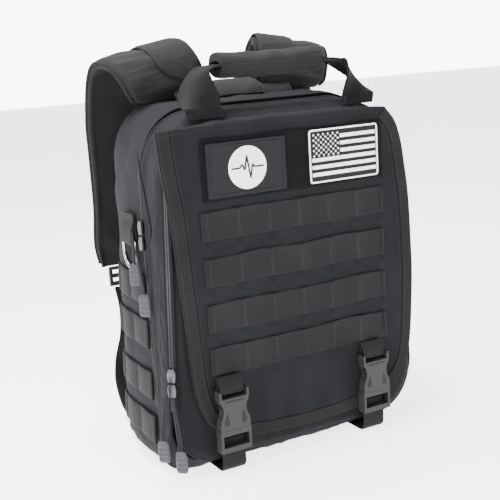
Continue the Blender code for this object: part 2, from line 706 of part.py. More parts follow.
def pull(name, top, out, hinge, length, lean, looks, parent):
    """Cord loop with a moulded tab, one piece that swings on the slider."""
    pivot = joint(f"{name}_pivot", tuple(top), parent)
    hinge = np.array(hinge) / np.linalg.norm(hinge)
    down = np.array((0.0, 0.0, -1.0))
    tab = 21 * MM
    steps = np.array((0, 0.33, 0.66, 1.0, 1.001)) * (length - tab)
    steps = np.concatenate([steps, length - np.array((4 * MM, 0))])
    drift = lean * np.clip(steps / (length - tab), 0, 1)
    path = np.array([top + down * s + hinge * d for s, d in zip(steps, drift)])
    half = np.array((1.8, 2.2, 2.3, 2.3, 5.4, 5.6, 4.4)) * MM
    thick = np.array((1.2, 1.3, 1.3, 1.3, 2.0, 2.0, 1.6)) * MM
    steps_down = np.broadcast_to(hinge, path.shape)
    rings = []
    for centre, side_way, w, t in zip(path, steps_down, half, thick):
        rings.append([centre + side_way * a * w + out * b * t for a, b in ((1, 1), (1, -1), (-1, -1), (-1, 1))])
    solid(f"{name}_pull", loft(rings), looks["grey_rubber"], pivot)


def main_sliders(looks, parent):
    """Two sliders on the left of the main zip, side by side at rest."""
    out = (-1, 0, 0)
    low_z, high_z = 100 * MM, 260 * MM
    low = np.array((-side_half(low_z), seam_y(low_z), low_z))
    high = np.array((-side_half(high_z), seam_y(high_z), high_z))
    for number, (z, shift, lean, length) in enumerate(zip(
            MAIN_SLIDER_Z, (-2.6 * MM, 2.6 * MM), (-1.2 * MM, 11 * MM), (50 * MM, 61 * MM)), start=1):
        spot = low + (high - low) * (z - low_z) / (high_z - low_z) + np.array((-2.4 * MM, 0, 0))
        run, away = slider(f"main_{number}", spot, high - low, out, looks, parent)
        top = spot + away * PULL_OUT + np.array((0, -shift, -3 * MM))
        pull(f"main_{number}", top, away, (0, -1, 0), length, lean, looks, run)


def front_sliders(looks, parent):
    """Two sliders low on the left of the front zip."""
    out = np.array((-1, -1, 0)) / math.sqrt(2)
    low_z, high_z = 90 * MM, 250 * MM
    low = np.array((-side_half(low_z, COVER_INSET) - ZIP_OUT, ZIP_Y, low_z))
    high = np.array((-side_half(high_z, COVER_INSET) - ZIP_OUT, ZIP_Y, high_z))
    for number, (z, shift, lean, length) in enumerate(zip(
            FRONT_SLIDER_Z, (-2.6 * MM, 2.6 * MM), (-7.5 * MM, 4 * MM), (77 * MM, 72 * MM)), start=1):
        spot = low + (high - low) * (z - low_z) / (high_z - low_z) + out * 1.3 * MM
        run, away = slider(f"front_{number}", spot, high - low, out, looks, parent)
        hinge = np.array((1, -1, 0)) / math.sqrt(2)
        top = spot + away * PULL_OUT + hinge * shift + np.array((0, 0, -3 * MM))
        pull(f"front_{number}", top, away, hinge, length, lean, looks, run)


def build():
    clear_scene()
    looks = {
        "fabric": material("black_fabric", FABRIC),
        "fabric_pale": material("worn_fabric", FABRIC_PALE),
        "webbing": material("webbing", WEB, 0.8),
        "tape": material("edge_tape", TAPE, 0.85),
        "loop": material("loop_fabric", FABRIC, 0.95),
        "plastic": material("acetal", PLASTIC, 0.45),
        "rubber": material("soft_rubber", RUBBER, 0.6),
        "grey_rubber": material("grey_rubber", GREY_RUBBER, 0.55),
        "steel": material("bright_steel", STEEL, 0.2, 1.0),
        "plated": material("plated_zinc", STEEL, 0.3, 1.0),
        "teeth": material("metal_teeth", STEEL, 0.35, 1.0),
        "coil": material("black_coil", (0.02, 0.02, 0.022), 0.5),
        "sheet": material("polyethylene", (0.08, 0.08, 0.08), 0.5),
    }
    rear_compartment(looks["fabric"])
    frame_sheet(looks["sheet"])
    back_pad(looks["fabric_pale"])
    strap_yoke(looks["fabric_pale"])
    for side, name in ((-1, "left"), (1, "right")):
        side_webbing(side, name, looks["webbing"])
        adjuster(side, name, shoulder_strap(side, name, looks), looks)
        lower_webbing(side, name, looks)
        ring_tab(side, name, looks)
        d_ring(side, name, looks)

    front = joint("front_bag_pivot", (0, SEAM_LOW_Y, 0))
    front_compartment(looks, front)
    main_zip(looks, front)
    main_sliders(looks, front)
    handle(looks, front)

    cover = joint("cover_pivot", (0, 0.5 * (RIM_Y + COVER_BACK_Y), COVER_LOW_Z), front)
    front_cover(looks, cover)
    front_zip(looks, cover)
    front_sliders(looks, cover)
    for side, name in ((-1, "left"), (1, "right")):
        closure_webbing(side, name, looks, cover)
        buckle_male(side, name, looks, cover)

    flap = joint("flap_pivot", (0, 0.5 * (FLAP_BACK_Y + COVER_FRONT_Y), FLAP_TOP_Z), cover)
    flap_panel(looks, flap)
    flap_binding(looks, flap)
    loop_field(looks, flap)
    patch("patch_emblem", -89 * MM, -9.5 * MM, 253.5 * MM, 302 * MM, looks["rubber"], flap)
    patch("patch_flag", 14.5 * MM, 91.5 * MM, 254 * MM, 304 * MM, looks["rubber"], flap)
    for number, top in enumerate(ROW_TOPS, start=1):
        load_row(number, top, looks, flap)
    for side, name in ((-1, "left"), (1, "right")):
        buckle_webbing(side, name, looks, flap)
        buckle_female(side, name, looks, flap)


build()
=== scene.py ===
# %% [markdown]
# # Trauma backpack
# A black nylon first-aid backpack drawn over its fixed frame of bodies and joints.
# Every soft part is a surface computed from a formula, so that it can be followed and changed.

# %%
# Load the frame
import math
import bmesh
import bpy
import numpy as np
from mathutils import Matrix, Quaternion, Vector


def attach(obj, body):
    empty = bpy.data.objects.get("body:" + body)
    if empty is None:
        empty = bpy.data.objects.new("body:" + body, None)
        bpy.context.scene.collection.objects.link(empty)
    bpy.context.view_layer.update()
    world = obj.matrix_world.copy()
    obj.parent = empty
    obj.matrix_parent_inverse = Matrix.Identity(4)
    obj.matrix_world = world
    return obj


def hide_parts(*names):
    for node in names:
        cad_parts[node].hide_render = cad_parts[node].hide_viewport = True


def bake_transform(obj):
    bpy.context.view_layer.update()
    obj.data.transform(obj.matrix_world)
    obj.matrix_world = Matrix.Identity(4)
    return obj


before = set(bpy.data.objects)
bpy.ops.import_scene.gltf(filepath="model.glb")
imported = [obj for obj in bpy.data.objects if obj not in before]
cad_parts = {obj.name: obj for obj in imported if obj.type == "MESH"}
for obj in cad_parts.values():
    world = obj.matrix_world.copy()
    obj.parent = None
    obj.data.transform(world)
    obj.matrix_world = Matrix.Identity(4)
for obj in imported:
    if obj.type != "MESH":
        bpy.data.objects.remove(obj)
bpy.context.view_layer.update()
MM = 0.001

# %% [markdown]
# ## Camera, light and floor
# A three-quarter view from the front left and a little above, as a catalogue picture has it.
# One large soft lamp above and behind gives the tops of the straps their pale edge,
# a second one at the left keeps the black cloth readable.

# %%
# Camera, light and floor


def aimed(made, place, direction, roll=0.0):
    """Put a camera or a lamp at a place, looking along a direction, rolled by some degrees."""
    made.location = place
    made.rotation_mode = "QUATERNION"
    turn = Vector(direction).to_track_quat("-Z", "Y")
    made.rotation_quaternion = turn @ Quaternion((0, 0, 1), math.radians(roll))
    bpy.context.scene.collection.objects.link(made)
    return made


def lamp(name, place, target, width, depth, watts):
    """A rectangular lamp that points at a target."""
    light = bpy.data.lights.new(name, "AREA")
    light.shape = "RECTANGLE"
    light.size = width
    light.size_y = depth
    light.energy = watts
    return aimed(bpy.data.objects.new(name, light), place, Vector(target) - Vector(place))


lens = bpy.data.cameras.new("camera")
lens.lens = 68.4
lens.sensor_width = 36
lens.clip_start = 0.01
bpy.context.scene.camera = aimed(bpy.data.objects.new("camera", lens),
                                 (-0.442, -0.814, 0.387), (0.461, 0.861, -0.2165), -3.6)

lamp("top_lamp", (-0.25, 0.15, 1.25), (0, 0, 0.2), 0.7, 0.6, 44)
lamp("left_lamp", (-1.2, -0.5, 0.75), (0, 0, 0.15), 0.6, 0.8, 22)
lamp("front_lamp", (0.35, -1.5, 0.8), (0, 0, 0.15), 0.8, 0.8, 15)

SKY_LIGHT, SKY_SEEN = 0.75, 9.0
sky = bpy.data.worlds.new("studio")
bpy.context.scene.world = sky
sky.use_nodes = True
glow = sky.node_tree.nodes["Background"]
glow.inputs["Color"].default_value = (1, 1, 1, 1)
seen = sky.node_tree.nodes.new("ShaderNodeLightPath").outputs["Is Camera Ray"]
level = sky.node_tree.nodes.new("ShaderNodeMapRange")
level.inputs["To Min"].default_value = SKY_LIGHT
level.inputs["To Max"].default_value = SKY_SEEN
sky.node_tree.links.new(seen, level.inputs["Value"])
sky.node_tree.links.new(level.outputs["Result"], glow.inputs["Strength"])

floor_mesh = bpy.data.meshes.new("floor")
floor_mesh.from_pydata([(-6, -6, 0), (6, -6, 0), (6, 6, 0), (-6, 6, 0)], [], [(0, 1, 2, 3)])
floor = bpy.data.objects.new("floor", floor_mesh)
bpy.context.scene.collection.objects.link(floor)
paint = bpy.data.materials.new("floor_white")
paint.use_nodes = True
floor_look = paint.node_tree.nodes["Principled BSDF"].inputs
floor_look["Base Color"].default_value = (0.86, 0.86, 0.87, 1)
floor_look["Roughness"].default_value = 0.6
floor_look["Emission Color"].default_value = (1, 1, 1, 1)
floor_look["Emission Strength"].default_value = 3.0
floor_mesh.materials.append(paint)
print("camera and 3 lamps in place")

# %% [markdown]
# ## Curves and surfaces
# Everything soft is a grid of points: rows run along a piece and columns run round it.
# The grid is also laid flat in metres, and that flat layout carries the weave of the cloth,
# so a thread has the same size everywhere.

# %%
# Curves and surfaces
TAU = 2 * math.pi
FORWARD = (0, -1, 0)


def xyz(x, y, z):
    """Points from three coordinates; a single number stands for a whole line or grid of them."""
    return np.stack(np.broadcast_arrays(x, y, z), axis=-1)


def at_depth(flat, y):
    """A line of (x, z) points set upright at depth y."""
    return xyz(flat[:, 0], y, flat[:, 1])


def shrunk(ring, share):
    """A ring drawn in towards its middle, to a share of its size."""
    middle = ring.mean(axis=0)
    return middle + (ring - middle) * share


def curve(points, count):
    """A smooth line through the points: a cubic between each pair, whose slope at a point is
    half the step from the point before it to the point after it."""
    p = np.asarray(points, float)
    p = np.vstack([2 * p[0] - p[1], p, 2 * p[-1] - p[-2]])
    t = np.linspace(0, len(p) - 3, count)
    i = np.minimum(t.astype(int), len(p) - 4)
    u = (t - i)[:, None]
    a, b, c, d = p[i], p[i + 1], p[i + 2], p[i + 3]
    square, cube = 2 * a - 5 * b + 4 * c - d, 3 * b - a - 3 * c + d
    return 0.5 * (2 * b + (c - a) * u + square * u ** 2 + cube * u ** 3)


def even(line, count):
    """The same line with its points at equal distances along it."""
    far = np.concatenate([[0], np.cumsum(np.linalg.norm(np.diff(line, axis=0), axis=1))])
    at = np.linspace(0, far[-1], count)
    return np.stack([np.interp(at, far, line[:, k]) for k in range(line.shape[1])], axis=1)


def unit(v):
    """The same directions, one metre long."""
    return v / np.maximum(np.linalg.norm(v, axis=-1, keepdims=True), 1e-12)


def slope(line):
    """The direction of a line at each of its points."""
    return unit(np.gradient(line, axis=0))


def smooth(x, low, high):
    """0 below low, 1 above high, and an S-shaped step between."""
    t = np.clip((np.asarray(x, float) - low) / (high - low), 0, 1)
    return t * t * (3 - 2 * t)


WAVES = 20


def ripple(u, v, seed, size, stretch=1.0):
    """A gentle random height near -1 to 1: twenty cosine waves of random direction and phase,
    with lengths around size metres, and stretch times as dense along v."""
    dice = np.random.default_rng(seed)
    angle = dice.uniform(0, TAU, WAVES)
    wave = TAU / size * dice.uniform(0.6, 1.7, WAVES)
    phase = dice.uniform(0, TAU, WAVES)
    u, v = np.asarray(u, float)[..., None], np.asarray(v, float)[..., None] * stretch
    return np.cos(wave * (np.cos(angle) * u + np.sin(angle) * v) + phase).sum(-1) / 4.5


def creases(u, v, seed, size, stretch=1.0):
    """Sharp little folds: one minus the absolute ripple, squared, so ridges are narrow."""
    return np.clip(1 - np.abs(ripple(u, v, seed, size, stretch)) * 1.6, 0, 1) ** 2


def lengths(grid, axis, closed):
    """Distance along the grid's rows or columns, averaged, with a last value where it closes."""
    step = np.linalg.norm(np.roll(grid, -1, axis=axis) - grid, axis=-1).mean(axis=1 - axis)
    return np.concatenate([[0], np.cumsum(step)]) if closed else np.concatenate([[0], np.cumsum(step[:-1])])


def finish_mesh(name, points, faces, look, laid=None, sharp=40):
    """Make the object, with every face turned outwards and the flat layout as its UV map."""
    mesh = bpy.data.meshes.new(name)
    mesh.from_pydata(np.asarray(points).tolist(), [], faces)
    if laid is not None:
        layer = mesh.uv_layers.new(name="flat")
        layer.data.foreach_set("uv", np.asarray(laid, np.float32).ravel())
    shell = bmesh.new()
    shell.from_mesh(mesh)
    bmesh.ops.recalc_face_normals(shell, faces=shell.faces)
    shell.to_mesh(mesh)
    shell.free()
    mesh.shade_smooth()
    mesh.set_sharp_from_angle(angle=math.radians(sharp))
    mesh.materials.append(look)
    made = bpy.data.objects.new(name, mesh)
    bpy.context.scene.collection.objects.link(made)
    return made


def surface(name, grid, look, round_rows=False, sharp=40):
    """Skin a grid whose columns close round.  Rows that don't close get a cap at each end."""
    rows, columns = grid.shape[:2]
    i, j = np.meshgrid(np.arange(rows if round_rows else rows - 1), np.arange(columns), indexing="ij")
    i2, j2 = i + 1, j + 1
    a, b = i * columns + j, i * columns + j2 % columns
    c, d = (i2 % rows) * columns + j2 % columns, (i2 % rows) * columns + j
    faces = np.stack([a, b, c, d], -1).reshape(-1, 4).tolist()
    u, v = lengths(grid, 1, True), lengths(grid, 0, round_rows)
    laid = np.stack([np.stack([u[j], v[i]], -1), np.stack([u[j2], v[i]], -1),
                     np.stack([u[j2], v[i2]], -1), np.stack([u[j], v[i2]], -1)], axis=2).reshape(-1, 2)
    if not round_rows:
        faces += [list(range(columns)), list(range((rows - 1) * columns, rows * columns))]
        ends = np.stack([u[:columns], np.zeros(columns)], -1)
        laid = np.vstack([laid, ends, ends])
    return finish_mesh(name, grid.reshape(-1, 3), faces, look, laid, sharp)


EDGE_POINTS = 4


def section(half_width, half_thick, flat):
    """The rounded cross-section of a strap, for each place along it: flat points on each face and a
    half circle of edge points at each side, as distances across and out."""
    w, t = np.atleast_1d(half_width)[:, None], np.atleast_1d(half_thick)[:, None]
    run = np.linspace(1, -1, flat)[None]
    bend = np.radians(np.linspace(90, -90, EDGE_POINTS + 2)[1:-1])[None]
    inner = np.maximum(w - t, 0)
    across = np.hstack([-run * inner, inner + t * np.cos(bend), run * inner, -inner - t * np.cos(bend)])
    out = np.hstack([t + 0 * run, t * np.sin(bend), -t + 0 * run, -t * np.sin(bend)])
    return across, out


def strap(name, path, across, half_width, half_thick, look, flat=14, lift=None, sharp=60):
    """A strap whose middle follows path and whose width points along across.
    lift adds a height to the outer face, as rows by columns of the section's flat part."""
    path = np.asarray(path, float)
    across = unit(np.broadcast_to(np.asarray(across, float), path.shape))
    out = unit(np.cross(across, slope(path)))
    wide = np.broadcast_to(half_width, len(path))
    thick = np.broadcast_to(half_thick, len(path))
    a, o = section(wide, thick, flat)
    if lift is not None:
        o = o + lift(np.linspace(0, 1, len(path))[:, None], a, wide[:, None])
    grid = path[:, None] + across[:, None] * a[..., None] + out[:, None] * o[..., None]
    return surface(name, grid, look, sharp=sharp)


def tube(name, path, radius, look, sides=10, closed=False):
    """A round cord along a path; its frame is carried along so that it doesn't twist."""
    path = np.asarray(path, float)
    if closed:
        ahead = unit(np.roll(path, -1, axis=0) - np.roll(path, 1, axis=0))
    else:
        ahead = slope(path)
    spread = np.abs(ahead).max(axis=0)
    guide = np.eye(3)[np.argmin(spread)]
    side = unit(np.cross(ahead, guide))
    up = np.cross(side, ahead)
    turn = np.linspace(0, TAU, sides, endpoint=False)[None, :, None]
    thick = np.broadcast_to(radius, len(path))[:, None, None]
    grid = path[:, None] + thick * (np.cos(turn) * side[:, None] + np.sin(turn) * up[:, None])
    return surface(name, grid, look, round_rows=closed)


BEAD = np.array([(a, r * math.cos(t), r * math.sin(t) + 0.35 * (1 - a * a))
                 for a, r in ((-1, 0.35), (-0.55, 1), (0.55, 1), (1, 0.35)) for t in np.arange(6) * TAU / 6])
BEAD_SIDES = np.array([(r * 6 + k, r * 6 + (k + 1) % 6, (r + 1) * 6 + (k + 1) % 6, (r + 1) * 6 + k)
                       for r in range(3) for k in range(6)])
BEAD_ENDS = np.array([range(6), range(18, 24)])


def beads(name, middles, along, out, half_length, radius, look):
    """Many copies of one small bead: a stitch, or with other sizes a tooth.  The bead's own three
    coordinates are carried along, beside and out from the line at each of the middles."""
    middles, along, out = (np.asarray(x, float) for x in (middles, along, out))
    along = unit(along)
    side = unit(np.cross(out, along))
    out = np.cross(along, side)
    points = (middles[:, None] + BEAD[None, :, 0:1] * half_length * along[:, None]
              + BEAD[None, :, 1:2] * radius * side[:, None] + BEAD[None, :, 2:3] * radius * out[:, None])
    first = len(BEAD) * np.arange(len(middles))[:, None, None]
    sides = (BEAD_SIDES + first).reshape(-1, 4).tolist()
    ends = (BEAD_ENDS + first).reshape(-1, 6).tolist()
    return finish_mesh(name, points.reshape(-1, 3), sides + ends, look)


def stitch_runs(runs, pitch):
    """Places, directions and outward directions of the stitches along several lines."""
    middles, along, outs = [], [], []
    for line, out in runs:
        line = np.asarray(line, float)
        far = np.linalg.norm(np.diff(line, axis=0), axis=1).sum()
        count = max(int(far / pitch), 2)
        fine = even(line, 2 * count + 1)
        middles.append(fine[1::2])
        along.append(fine[2::2] - fine[:-2:2])
        wide = np.broadcast_to(np.asarray(out, float), line.shape)
        outs.append(even(np.hstack([line, wide]), 2 * count + 1)[1::2, 3:])
    return np.vstack(middles), np.vstack(along), np.vstack(outs)


def sew(name, runs, look, body, pitch=3.0 * MM, radius=0.32 * MM):
    """Rows of stitches that go with a body."""
    middles, along, outs = stitch_runs(runs, pitch)
    made = beads(name, middles, along, outs, 0.4 * pitch, radius, look)
    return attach(made, body)


def put(made, body, slot, *nodes):
    """Ride the piece on its body and let it stand for these frame nodes, which are hidden. slot is not used.
    """
    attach(made, body)
    if nodes:
        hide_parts(*nodes)
    return made


print("curve and surface tools ready")

# %% [markdown]
# ## Shader arithmetic
# A finish is worked out as plain sums. Wire wraps a shader socket so that + - * read as they do in
# Python; Net makes the other nodes, settings first and then what is plugged in.

# %%
# Shader arithmetic


class Wire:
    """A number that flows through a shader."""

    def __init__(self, net, socket):
        self.net, self.socket = net, socket

    def __add__(self, other):
        return self.net.sum("ADD", self, other)

    def __sub__(self, other):
        return self.net.sum("SUBTRACT", self, other)

    def __mul__(self, other):
        return self.net.sum("MULTIPLY", self, other)

    def __radd__(self, other):
        return self.net.sum("ADD", other, self)

    def __rsub__(self, other):
        return self.net.sum("SUBTRACT", other, self)

    def __rmul__(self, other):
        return self.net.sum("MULTIPLY", other, self)

    def sin(self):
        return self.net.sum("SINE", self)

    def between(self, low, high):
        """0 at low, 1 at high, held outside."""
        node = self.net.node("ShaderNodeMapRange", {"clamp": True}, Value=self)
        node.inputs["From Min"].default_value = low
        node.inputs["From Max"].default_value = high
        return Wire(self.net, node.outputs["Result"])


class Net:
    """One material and the nodes in it."""

    def __init__(self, name, **constants):
        self.material = bpy.data.materials.new(name)
        self.material.use_nodes = True
        self.tree = self.material.node_tree
        self.shader = self.tree.nodes["Principled BSDF"]
        for socket, value in constants.items():
            self.shader.inputs[socket.replace("_", " ")].default_value = value

    def node(self, kind, settings=None, **links):
        """A node of one kind: its settings first, then the values or links of its sockets."""
        made = self.tree.nodes.new(kind)
        for key, value in (settings or {}).items():
            setattr(made, key, value)
        for key, value in links.items():
            self.plug(made.inputs[key.replace("_", " ")], value)
        return made

    def plug(self, socket, value):
        """Link a wire to a socket, or set a plain value on it."""
        if isinstance(value, Wire):
            self.tree.links.new(value.socket, socket)
        else:
            socket.default_value = value

    def sum(self, operation, *values):
        """One step of arithmetic."""
        made = self.tree.nodes.new("ShaderNodeMath")
        made.operation = operation
        for socket, value in zip(made.inputs, values):
            self.plug(socket, value)
        return Wire(self, made.outputs[0])

    def flat(self):
        """The piece's own flat layout, in metres: across and along."""
        uv = self.node("ShaderNodeUVMap", {"uv_map": "flat"})
        parts = self.node("ShaderNodeSeparateXYZ", Vector=Wire(self, uv.outputs["UV"]))
        return Wire(self, parts.outputs["X"]), Wire(self, parts.outputs["Y"])

    def noise(self, size, detail=3.0, rough=0.55):
        """Smooth random values from 0 to 1 in the object's own space; size is in metres."""
        spot = self.node("ShaderNodeTexCoord")
        made = self.node("ShaderNodeTexNoise", Vector=Wire(self, spot.outputs["Object"]),
                         Scale=1.0 / size, Detail=detail, Roughness=rough)
        return Wire(self, made.outputs["Fac"])

    def mix(self, share, first, second):
        """A colour between two others."""
        made = self.node("ShaderNodeMix", {"data_type": "RGBA"})
        self.plug(made.inputs[0], share)
        for socket, value in ((made.inputs[6], first), (made.inputs[7], second)):
            self.plug(socket, value if isinstance(value, Wire) else (*value, 1.0))
        return Wire(self, made.outputs[2])

    def paint(self, colour, roughness, height, depth, strength=0.6):
        """Plug in what varies.  height is turned into a bump that is depth metres high."""
        self.plug(self.shader.inputs["Base Color"], colour)
        self.plug(self.shader.inputs["Roughness"], roughness)
        bump = self.node("ShaderNodeBump", Height=height, Distance=depth, Strength=strength)
        self.tree.links.new(bump.outputs["Normal"], self.shader.inputs["Normal"])
        return self.material


def shade(colour, by):
    """The same colour, lighter or darker."""
    return tuple(c * by for c in colour)


print("shader tools ready")

# %% [markdown]
# ## Finishes
# Cordura-like nylon is a plain weave: two crossing sine waves, multiplied, give the chequer of its
# threads. Webbing is ribbed along its length with a fine herringbone, binding tape is ribbed across.
# All of them are near black, with a little sheen for the worn fibres. A slow stain and a fine dust
# keep any two spots from matching.

# %%
# Finishes


def woven(name, colour, thread, ribs=(1.0, 1.0), slant=0.0, depth=0.25 * MM, sheen=0.35, rough=0.78):
    """Threads of the given width in metres; ribs weigh the two directions; slant turns it to twill."""
    net = Net(name, Sheen_Weight=sheen, Sheen_Roughness=0.45, Specular_IOR_Level=0.07)
    net.shader.inputs["Sheen Tint"].default_value = (0.75, 0.79, 0.86, 1)
    x, y = net.flat()
    turn = TAU / (2 * thread)
    warp = ((x + y * slant) * turn).sin()
    weft = (y * turn).sin()
    cloth = warp * weft * 0.5 + warp * (0.5 * ribs[0] - 0.5) + weft * (0.5 * ribs[1] - 0.5)
    stain = net.noise(45 * MM, 4.0, 0.6)
    dust = net.noise(2.2 * MM, 2.0, 0.7)
    fleck = net.noise(0.7 * MM, 1.0, 0.5)
    worn = stain.between(0.38, 0.64) * 0.65 + dust.between(0.3, 0.75) * 0.35
    tone = net.mix(worn, shade(colour, 0.55), shade(colour, 1.6))
    # Painted shade: the valleys between the threads are darkened towards 0.7 of the colour, with random fine
    # flecks of tone mixed in.
    tone = net.mix((cloth * 0.5 + 0.5) * 0.25 + fleck * 0.2, shade(colour, 0.7), tone)
    return net.paint(tone, rough + (dust - 0.5) * 0.2, cloth * 0.8 + fleck * 0.8 + dust * 1.2, depth)


def moulded(name, colour, rough=0.42, grain=0.8 * MM, depth=0.05 * MM, gloss=0.16):
    """Smooth plastic or rubber: a fine pebble grain, rubbed paler in places."""
    net = Net(name, Specular_IOR_Level=gloss)
    grit = net.noise(grain, 2.0, 0.6)
    rub = net.noise(9 * MM, 4.0, 0.65).between(0.45, 0.75)
    tone = net.mix(rub * 0.6, colour, shade(colour, 1.35))
    return net.paint(tone, rough + (grit - 0.5) * 0.15 + rub * 0.08, grit, depth, 0.5)


def plated(name, colour, rough):
    """Plated metal with hairline scratches and dull spots."""
    net = Net(name, Metallic=1.0)
    spots = net.noise(3 * MM, 4.0, 0.7).between(0.45, 0.8)
    hair = net.noise(0.5 * MM, 2.0, 0.8)
    tone = net.mix(spots * 0.7, colour, shade(colour, 0.62))
    return net.paint(tone, rough + spots * 0.25 + hair * 0.08, hair + spots, 0.04 * MM, 0.4)


LOOKS = {
    "nylon": woven("nylon", (0.0108, 0.0115, 0.0130), 0.42 * MM, sheen=0.035),
    # The same nylon made lighter: painted light for the shoulder straps, handle sleeve and yoke, which catch
    # the light from above.
    "nylon_lit": woven("nylon_lit", (0.0185, 0.0184, 0.0182), 0.42 * MM, sheen=0.06),
    "lining": woven("lining", (0.014, 0.0145, 0.015), 0.3 * MM, depth=0.1 * MM, sheen=0.02),
    "webbing": woven("webbing", (0.0150, 0.0138, 0.0150), 0.55 * MM, (2.2, 1.1), 0.5, 0.35 * MM, 0.04, 0.70),
    "satin": woven("satin", (0.0060, 0.0062, 0.0070), 0.6 * MM, (2.0, 0.8), 0.5, 0.2 * MM, 0.03, 0.6),
    "tape": woven("tape", (0.0150, 0.0138, 0.0138), 0.45 * MM, (0.6, 2.0), 0.0, 0.3 * MM, 0.04),
    "loop": woven("loop", (0.0055, 0.0055, 0.0065), 0.5 * MM, (0.6, 0.6), 0.9, 0.9 * MM, 0.03, 0.9),
    "mesh": woven("mesh", (0.008, 0.0085, 0.0095), 1.3 * MM, (1.0, 1.0), 0.5, 1.0 * MM, 0.03, 0.85),
    "thread": woven("thread", (0.034, 0.034, 0.037), 0.2 * MM, depth=0.05 * MM, sheen=0.05),
    "acetal": moulded("acetal", (0.019, 0.019, 0.0195), 0.38),
    "rubber": moulded("rubber", (0.0085, 0.0085, 0.010), 0.50, 0.5 * MM, 0.08 * MM, 0.10),
    "white": moulded("white_rubber", (0.80, 0.80, 0.80), 0.55, 0.5 * MM, 0.04 * MM),
    "grey": moulded("grey_rubber", (0.040, 0.039, 0.046), 0.45),
    "cord": woven("cord", (0.022, 0.022, 0.025), 0.5 * MM, (1, 1), 1.0, 0.3 * MM, 0.05),
    "zinc": plated("plated_zinc", (0.075, 0.075, 0.079), 0.30),
    "steel": plated("bright_steel", (0.36, 0.36, 0.37), 0.10),
    "teeth": plated("zip_teeth", (0.115, 0.115, 0.125), 0.32),
    "coil": moulded("black_coil", (0.006, 0.006, 0.007), 0.5),
    "sheet": moulded("polyethylene", (0.04, 0.04, 0.04), 0.45),
}
print(len(LOOKS), "finishes")

# %% [markdown]
# ## The bag's outline
# Seen from the front the bag is a rounded trapezium, a little wider at the ground. Every panel starts
# from this loop, moved inwards or shortened. Real panels are cut flat and sewn over foam, which is
# why the corners are round and the long sides almost straight.

# %%
# The bag's outline
LOW_HALF, TOP_HALF = 137 * MM, 127 * MM
LOW_RADIUS, TOP_RADIUS, RIGHT_RADIUS = 18 * MM, 55 * MM, 52 * MM
SEAM_TOP = 327 * MM
GIRTH = 1.15


def seam_y(z):
    """Where the slanted seam between the two compartments is."""
    return (-48 + 24 * np.asarray(z) / SEAM_TOP) * MM


def half_at(z):
    """Half width of the bag's side at a height."""
    share = (np.asarray(z) - LOW_RADIUS) / (SEAM_TOP - TOP_RADIUS - LOW_RADIUS)
    return LOW_HALF - 10 * MM * np.clip(share, 0, 1)


def loop(inset, low, top, radius=LOW_RADIUS, count=260):
    """The outline as (x, z) points at even distances, from the middle of the underside round."""
    r, q, s = (max(size - inset, 12 * MM) for size in (radius, TOP_RADIUS, RIGHT_RADIUS))
    w, v = LOW_HALF - inset, TOP_HALF - inset
    lean = (w - v) * (s - r) / (top - q - r - low)
    corners = ((w - lean - s, low + s, s, -90), (v - q, top - q, q, 0),
               (q - v, top - q, q, 90), (r - w, low + r, r, 180))
    line = [np.array([[0.0, low]])]
    for x, z, size, start in corners:
        turn = np.radians(start + np.linspace(0, 90, 16))
        line.append(np.stack([x + size * np.cos(turn), z + size * np.sin(turn)], axis=1))
    return even(np.vstack(line + [line[0]]), count + 1)[:-1]


def on_seam(flat, before):
    """A line of (x, z) points set on the slanted seam, or a little before it."""
    return at_depth(flat, seam_y(flat[:, 1]) - before)


def seam_roll(from_seam, high):
    """Height of the roll beside the seam: a bump 6 mm from it, and a groove in it."""
    bump = high * np.exp(-((from_seam - 6 * MM) / (4 * MM)) ** 2)
    return bump - 1.1 * MM * np.exp(-(from_seam / (1.8 * MM)) ** 2)


def outward(grid):
    """Unit normals of a grid whose columns close round, turned away from its middle."""
    along = np.gradient(grid, axis=0)
    round_it = np.roll(grid, -1, axis=1) - np.roll(grid, 1, axis=1)
    normal = unit(np.cross(along, round_it))
    return normal * np.sign((normal * (grid - grid.mean(axis=(0, 1)))).sum(-1, keepdims=True))


def lined(made, first, last):
    """Give the faces from first to last the lining."""
    made.data.materials.append(LOOKS["lining"])
    index = np.zeros(len(made.data.polygons), np.int32)
    index[first:last] = 1
    made.data.polygons.foreach_set("material_index", index)
    return made


def tub(name, stations, rim, wall, end_y, seed, puff, folds):
    """A compartment: a wall that runs from its rim over the stations, and a closed end.
    stations are rows of y, inset, bottom, top and low corner radius.  The wall swells by puff between
    its ends, is rippled, and carries folds, which is a function of x, y, z giving extra height."""
    fine = curve(stations, 34)
    rows = [rim(loop(0, *fine[0, 2:]))]
    rows += [at_depth(loop(inset, low, top, radius), y) for y, inset, low, top, radius in fine]
    last = rows[-1]
    for share in (0.93, 0.84, 0.74, 0.63, 0.5, 0.36, 0.2, 0.05):
        ring = shrunk(last, share)
        ring[:, 1] = last[:, 1] + (end_y - last[:, 1]) * smooth(1 - share, 0, 0.4)
        rows.append(ring)
    outer = np.stack(rows)
    normal = outward(outer)
    u = np.arange(outer.shape[1])[None] / outer.shape[1] * GIRTH
    v = np.cumsum(np.insert(np.linalg.norm(np.diff(outer, axis=0), axis=-1).mean(1), 0, 0))[:, None]
    grow = np.sin(np.clip(v / v.max(), 0, 1) * math.pi) ** 0.5
    height = puff * grow + 0.5 * MM * ripple(u, v, seed, 70 * MM) * grow
    height = height + 0.35 * MM * ripple(u, v, seed + 1, 22 * MM, 0.6) * grow
    height = height + folds(outer[..., 0], outer[..., 1], outer[..., 2])
    skin = outer + normal * height[..., None]
    skin[..., 2] = np.maximum(skin[..., 2], 0.4 * MM)
    inner = outer[:len(fine) + 1] - normal[:len(fine) + 1] * wall
    fills = [shrunk(inner[-1], s) for s in (0.05, 0.2, 0.5, 0.8)]
    grid = np.concatenate([np.stack(fills), inner[::-1], skin])
    inside = (len(fills) + len(inner) - 1) * grid.shape[1]
    return lined(surface(name, grid, LOOKS["nylon"], sharp=50), 0, inside)


print("outline of", len(loop(0, 0, SEAM_TOP)), "points")

